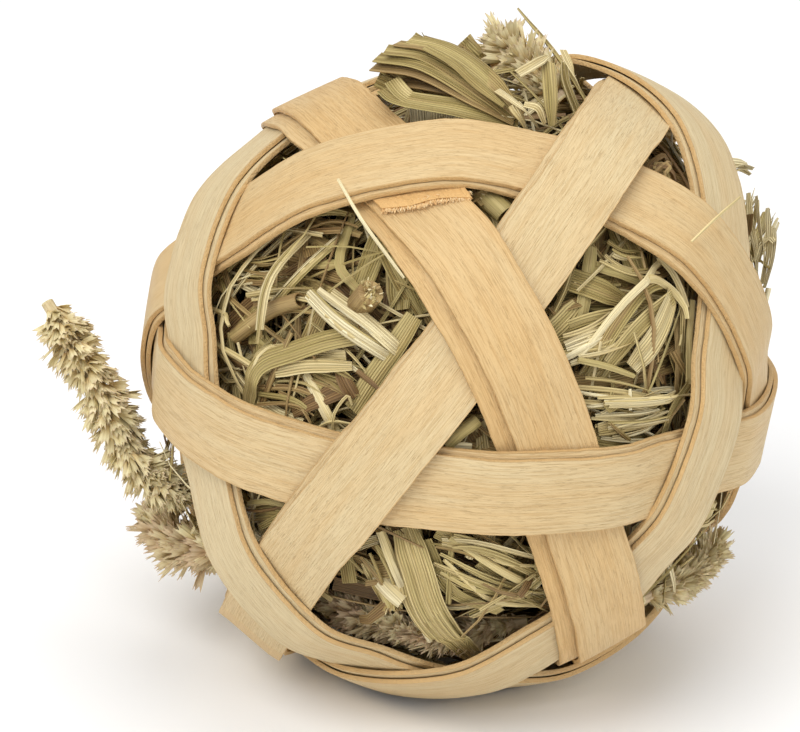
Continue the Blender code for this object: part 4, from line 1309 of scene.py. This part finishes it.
# Sheaves of fine fibres in the same openings: how many, spread in millimetres, widths, shades, pixels
sheaves = (
    (10, 1.6, (0.4, 1.0), (0.4, 0.95), ((430, 538, -3), (480, 548, -2), (541, 573, -3))),
    (10, 1.7, (0.4, 1.1), (0.35, 0.9), ((425, 560, -3.2), (482, 588, -2.4), (546, 604, -3))),
    (6, 1.4, (0.4, 0.9), (0.3, 0.8), ((365, 545, -3.4), (385, 575, -2.8), (402, 612, -3.2))),
    (12, 1.8, (0.5, 1.1), (0.7, 1.0), ((556, 354, -2.4), (600, 338, -2), (640, 316, -2.2))),
    (11, 1.4, (0.4, 0.9), (0.65, 1.0), ((596, 434, -2.6), (640, 424, -1.8), (668, 410, -2.4))),
    (12, 1.5, (0.4, 0.9), (0.7, 1.0), ((573, 396, -2.2), (620, 400, -1.6), (667, 404, -2))),
    (7, 1.6, (0.5, 1.2), (0.3, 0.8), ((236, 302, -3.8), (290, 292, -3.2), (342, 302, -3.4))),
    (7, 1.6, (0.4, 1.0), (0.2, 0.7), ((285, 222, -3.4), (330, 211, -3), (374, 214, -3.6))),
    (7, 1.5, (0.4, 0.9), (0.25, 0.85), ((298, 352, -2.8), (340, 370, -2.4), (372, 396, -3))),
    (7, 1.4, (0.4, 0.9), (0.3, 0.9), ((258, 392, -2.8), (300, 399, -2.6), (332, 424, -3))),
    (6, 1.2, (0.4, 0.9), (0.15, 0.5), ((228, 262, -3.8), (262, 268, -3.2), (300, 262, -3.4))),
    (6, 1.2, (0.4, 0.9), (0.3, 0.9), ((600, 250, -3), (626, 262, -2.4), (660, 262, -2))),
)

# The torn fan of broad leaves at the top: width, shade, and pixels from the torn end to the root
fanLeaves = (
    (3.6, 0.42, ((374, 66, 6), (420, 72, 5), (468, 95, 2.4), (514, 122, -1))),
    (3.6, 0.5, ((377, 57, 7), (424, 63, 6), (472, 89, 3), (514, 120, -1))),
    (3.4, 0.58, ((386, 49, 8), (428, 55, 6.6), (476, 84, 3.4), (516, 118, -0.6))),
    (3.4, 0.46, ((397, 43, 8), (436, 50, 7), (480, 80, 3.6), (518, 117, -0.6))),
    (3.2, 0.62, ((409, 40, 8), (446, 49, 7), (486, 77, 4), (520, 116, -0.6))),
    (3.0, 0.5, ((419, 40, 7), (454, 52, 6), (492, 80, 3.6), (522, 115, -0.6))),
    (1.4, 0.66, ((425, 47, 8), (452, 62, 7), (476, 84, 4.4), (504, 106, 2))),
    # the next leaf lies behind the fan and is painted dark: partly its own brown, partly painted shade
    (3.6, 0.3, ((392, 80, 3), (430, 84, 3), (475, 96, 1), (516, 116, -2))),
    (3.4, 0.62, ((386, 88, 3.5), (404, 98, 3.5), (460, 108, 1.6), (518, 124, -1.6))),
    (2.6, 0.7, ((392, 80, 4.4), (402, 92, 4), (416, 102, 2.6), (432, 110, 0))),
    (3.2, 0.98, ((420, 102, -1.0), (421, 117, -2.4), (422, 131, -4.2))),
    (3.0, 0.94, ((437, 104, -1.0), (437, 118, -2.4), (437, 132, -4.2))),
    (1.6, 0.98, ((450, 108, -1.0), (449, 120, -2.4), (449, 132, -4.0))),
    (2.2, 0.7, ((548, 62, 4.6), (550, 90, 3), (552, 126, -1))),
    (1.7, 0.8, ((563, 50, 5), (572, 70, 3), (580, 92, 0))),
    (2.2, 0.84, ((514, 104, 2.6), (520, 114, 1.6), (528, 134, -2))),
    (1.4, 0.9, ((497, 90, 3.2), (517, 104, 2.6), (527, 112, 2), (538, 128, -1))),
    (1.2, 0.86, ((524, 104, 2.8), (538, 108, 2.6), (545, 124, 0))),
    (1.6, 0.95, ((518, 74, 5), (535, 64, 5.6), (548, 56, 5))),
)

# Shreds that hang out behind the right edge: width, shade, and pixels with the millimetres in front of
# the ball's middle
edgeShreds = (
    (1.5, 0.94, ((752, 288, -3), (748, 250, -4), (743, 218, -5), (739, 192, -6))),
    (1.3, 0.82, ((757, 286, -3), (756, 252, -4), (750, 222, -5), (748, 193, -6))),
    (1.2, 1.00, ((760, 290, -2), (764, 256, -3), (759, 226, -4), (756, 196, -5))),
    (1.4, 0.77, ((758, 280, -4), (752, 244, -5), (756, 214, -6), (757, 200, -6))),
    (1.1, 0.92, ((762, 284, -2), (768, 250, -3), (768, 226, -4), (767, 208, -4))),
    (1.0, 1.00, ((764, 288, -1), (771, 262, -2), (773, 244, -3), (774, 228, -3))),
    (1.6, 0.72, ((754, 276, -6), (747, 240, -7), (745, 214, -8), (740, 204, -8))),
    (1.3, 0.88, ((756, 262, -3), (762, 244, -3), (770, 238, -3), (774, 242, -2))),
    (1.4, 0.62, ((750, 262, -7), (756, 236, -8), (762, 220, -8), (764, 212, -8))),
    (1.5, 1.00, ((718, 184, -8), (728, 172, -9), (740, 166, -10), (753, 169, -11))),
    (1.2, 0.92, ((722, 188, -8), (733, 172, -9), (742, 170, -10), (750, 175, -11))),
    (1.3, 1.00, ((714, 180, -8), (726, 164, -9), (738, 163, -10), (747, 165, -11))),
)
sheaf = {
    "steps": 18, "drift": 0.6, "bow": 0.35, "raised": 0.35, "slope": 0.4, "halfDepth": 0.3, "halfWidth": 0.4,
    "first": (0, 5), "last": (13, 19), "lineSteps": 12, "flatness": 0.6, "turn": 20, "twist": 50,
    "tips": (0.8, 0.5),
}
frontLook = {
    "steps": 24, "leafFlatness": 0.9, "fanTurn": 8, "fanTwist": 16, "fanTips": (0.95, 0.5),
    "edgeSteps": 18, "edgeFlatness": 0.6, "edgeTurn": 30, "edgeTwist": 60, "edgeTips": (1.0, 0.5),
    "loose": 2, "halfDepth": 0.5, "turn": 6, "twist": 14, "rootTip": (0.7, 1), "endTip": (0.6, 1),
}


def laySheaf(bundle, count, spread, widths, shades, places):
    course = photoCourse(places, sheaf["steps"])
    across, outward = courseFrame(course)
    along = np.linspace(-1, 1, sheaf["steps"])[:, None]
    for number in range(count):
        aside = random.normal() + random.normal() * sheaf["drift"] * along
        aside = spread * (aside + random.normal() * sheaf["bow"] * along ** 2)
        raised = random.normal() * sheaf["raised"] + random.normal() * sheaf["slope"] * along
        line = tuckCourse(course + across * aside + outward * raised, sheaf["halfDepth"], sheaf["halfWidth"])
        line = line[random.integers(*sheaf["first"]):random.integers(*sheaf["last"])]
        width = random.uniform(*widths)
        drawStalk(bundle, "fibre", smoothCourse(line, sheaf["lineSteps"]), width, width * sheaf["flatness"],
                  random.normal() * sheaf["turn"], random.normal() * sheaf["twist"], sheaf["tips"],
                  random.uniform(*shades))


def layFrontHay():
    look = frontLook
    leaves, stems = Bundle(), Bundle()
    for values in sheaves:
        laySheaf(leaves, *values)
    for width, shade, places in fanLeaves:
        drawStalk(leaves, "fineBlade", photoCourse(places, look["steps"]), width, width * look["leafFlatness"],
                  random.normal() * look["fanTurn"], random.normal() * look["fanTwist"], look["fanTips"], shade)
    for width, shade, places in edgeShreds:
        course = photoCourse(places, look["edgeSteps"], behindEdge)
        drawStalk(leaves, "fibre", course, width, width * look["edgeFlatness"],
                  random.normal() * look["edgeTurn"], random.normal() * look["edgeTwist"], look["edgeTips"], shade)
    for kind, width, shade, places in frontHay:
        leaf = kind == "fineBlade"
        course = photoCourse(places, look["steps"])
        if max(place[2] for place in places) < look["loose"]:
            course = tuckCourse(course, look["halfDepth"], width / 4)
        turn, twist = random.normal() * look["turn"], random.normal() * look["twist"]
        tips = (1, 1)
        if kind != "hollow":
            tips = (random.uniform(*look["rootTip"]), random.uniform(*look["endTip"]))
        flat = width * look["leafFlatness"] if leaf else width
        drawStalk(leaves if leaf else stems, kind, course, width, flat, turn, twist, tips, shade)
    leaves.finish("frontLeaves", "blade", "hay_leaves")
    stems.finish("frontStems", "straw", "hay_stems")


fringe = {
    "edge": ((383, 210), (396, 209), (419, 205.7), (433, 202), (454, 199), (470, 198)), "steps": 60,
    "fibres": 520, "length": (0.25, 0.8), "width": (0.07, 0.17), "shade": (0.2, 1.0), "lift": 0.25,
    "out": (-0.15, 0.1), "lean": 0.2, "tips": (1.0, 0.5), "ridgeEvery": 3,
    "ridge": {"above": (0.9, 1.4), "down": 0.4, "aside": 0.9},
    "end": {"above": (0.0, 0.35), "down": 1.0, "aside": 0.4},
}


def fringeCutEnd():
    # short torn fibres along the cut end under the fourth strip, and a torn ridge a little above it
    bundle = Bundle()
    edge = smoothCourse([fromPhoto(pixel, fringe["lift"]) for pixel in fringe["edge"]], fringe["steps"])
    ahead, outward = unit(np.gradient(edge, axis=0)), unit(edge)
    down = np.cross(outward, ahead)
    down = down * np.sign(down[:, 2:]) * -1
    for number in range(fringe["fibres"]):
        index = random.integers(0, fringe["steps"])
        part = fringe["end"] if number % fringe["ridgeEvery"] else fringe["ridge"]
        start = edge[index] - down[index] * random.uniform(*part["above"])
        start = start + outward[index] * random.uniform(*fringe["out"])
        lean = down[index] * part["down"] + ahead[index] * random.normal() * part["aside"]
        lean = unit(lean + outward[index] * random.normal() * fringe["lean"])
        line = smoothCourse((start, start + lean * random.uniform(*fringe["length"])), 4)
        drawStalk(bundle, "hair", line, random.uniform(*fringe["width"]), tips=fringe["tips"],
                  shade=random.uniform(*fringe["shade"]))
    bundle.finish("cutEndFringe", "cutFibres", "pale_veneer")


layFrontHay()
fringeCutEnd()
print("front hay laid")

# Floor and light

studio = {
    "floor": {"size": 4.0, "colour": (0.95, 0.95, 0.95), "roughness": 0.9, "specular": 0.1},
    "world": {"colour": (1, 1, 1), "strength": 0.5},
    "lights": {
        "key": {"place": (-0.45, -0.75, 1.0), "size": 0.9, "power": 11.0},
        "fill": {"place": (0.9, -0.6, 0.55), "size": 1.1, "power": 3.0},
        "top": {"place": (0.1, 0.35, 1.2), "size": 1.0, "power": 6.0},
    },
}


def addStudio():
    height = -weave["floorDepth"] * metre
    bpy.ops.mesh.primitive_plane_add(size=studio["floor"]["size"], location=(0, 0, height))
    floor = bpy.context.object
    floor.name = "paleFloor"
    material, tree, shader = startMaterial("paleFloor", studio["floor"])
    feed(tree, shader, {"Base Color": studio["floor"]["colour"]})
    floor.data.materials.append(material)
    for name, values in studio["lights"].items():
        bpy.ops.object.light_add(type="AREA", location=values["place"])
        light = bpy.context.object
        light.name = name + "Light"
        light.data.size = values["size"]
        light.data.energy = values["power"]
        light.rotation_euler = Vector(values["place"]).to_track_quat("Z", "Y").to_euler()
    world = bpy.data.worlds.new("softWhite")
    world.use_nodes = True
    feed(world.node_tree, world.node_tree.nodes["Background"],
         {0: studio["world"]["colour"], 1: studio["world"]["strength"]})
    bpy.context.scene.world = world
    bpy.context.scene.view_settings.view_transform = "Standard"


addCamera()
addStudio()
bpy.ops.object.select_all(action="DESELECT")
print("floor, light and camera set")
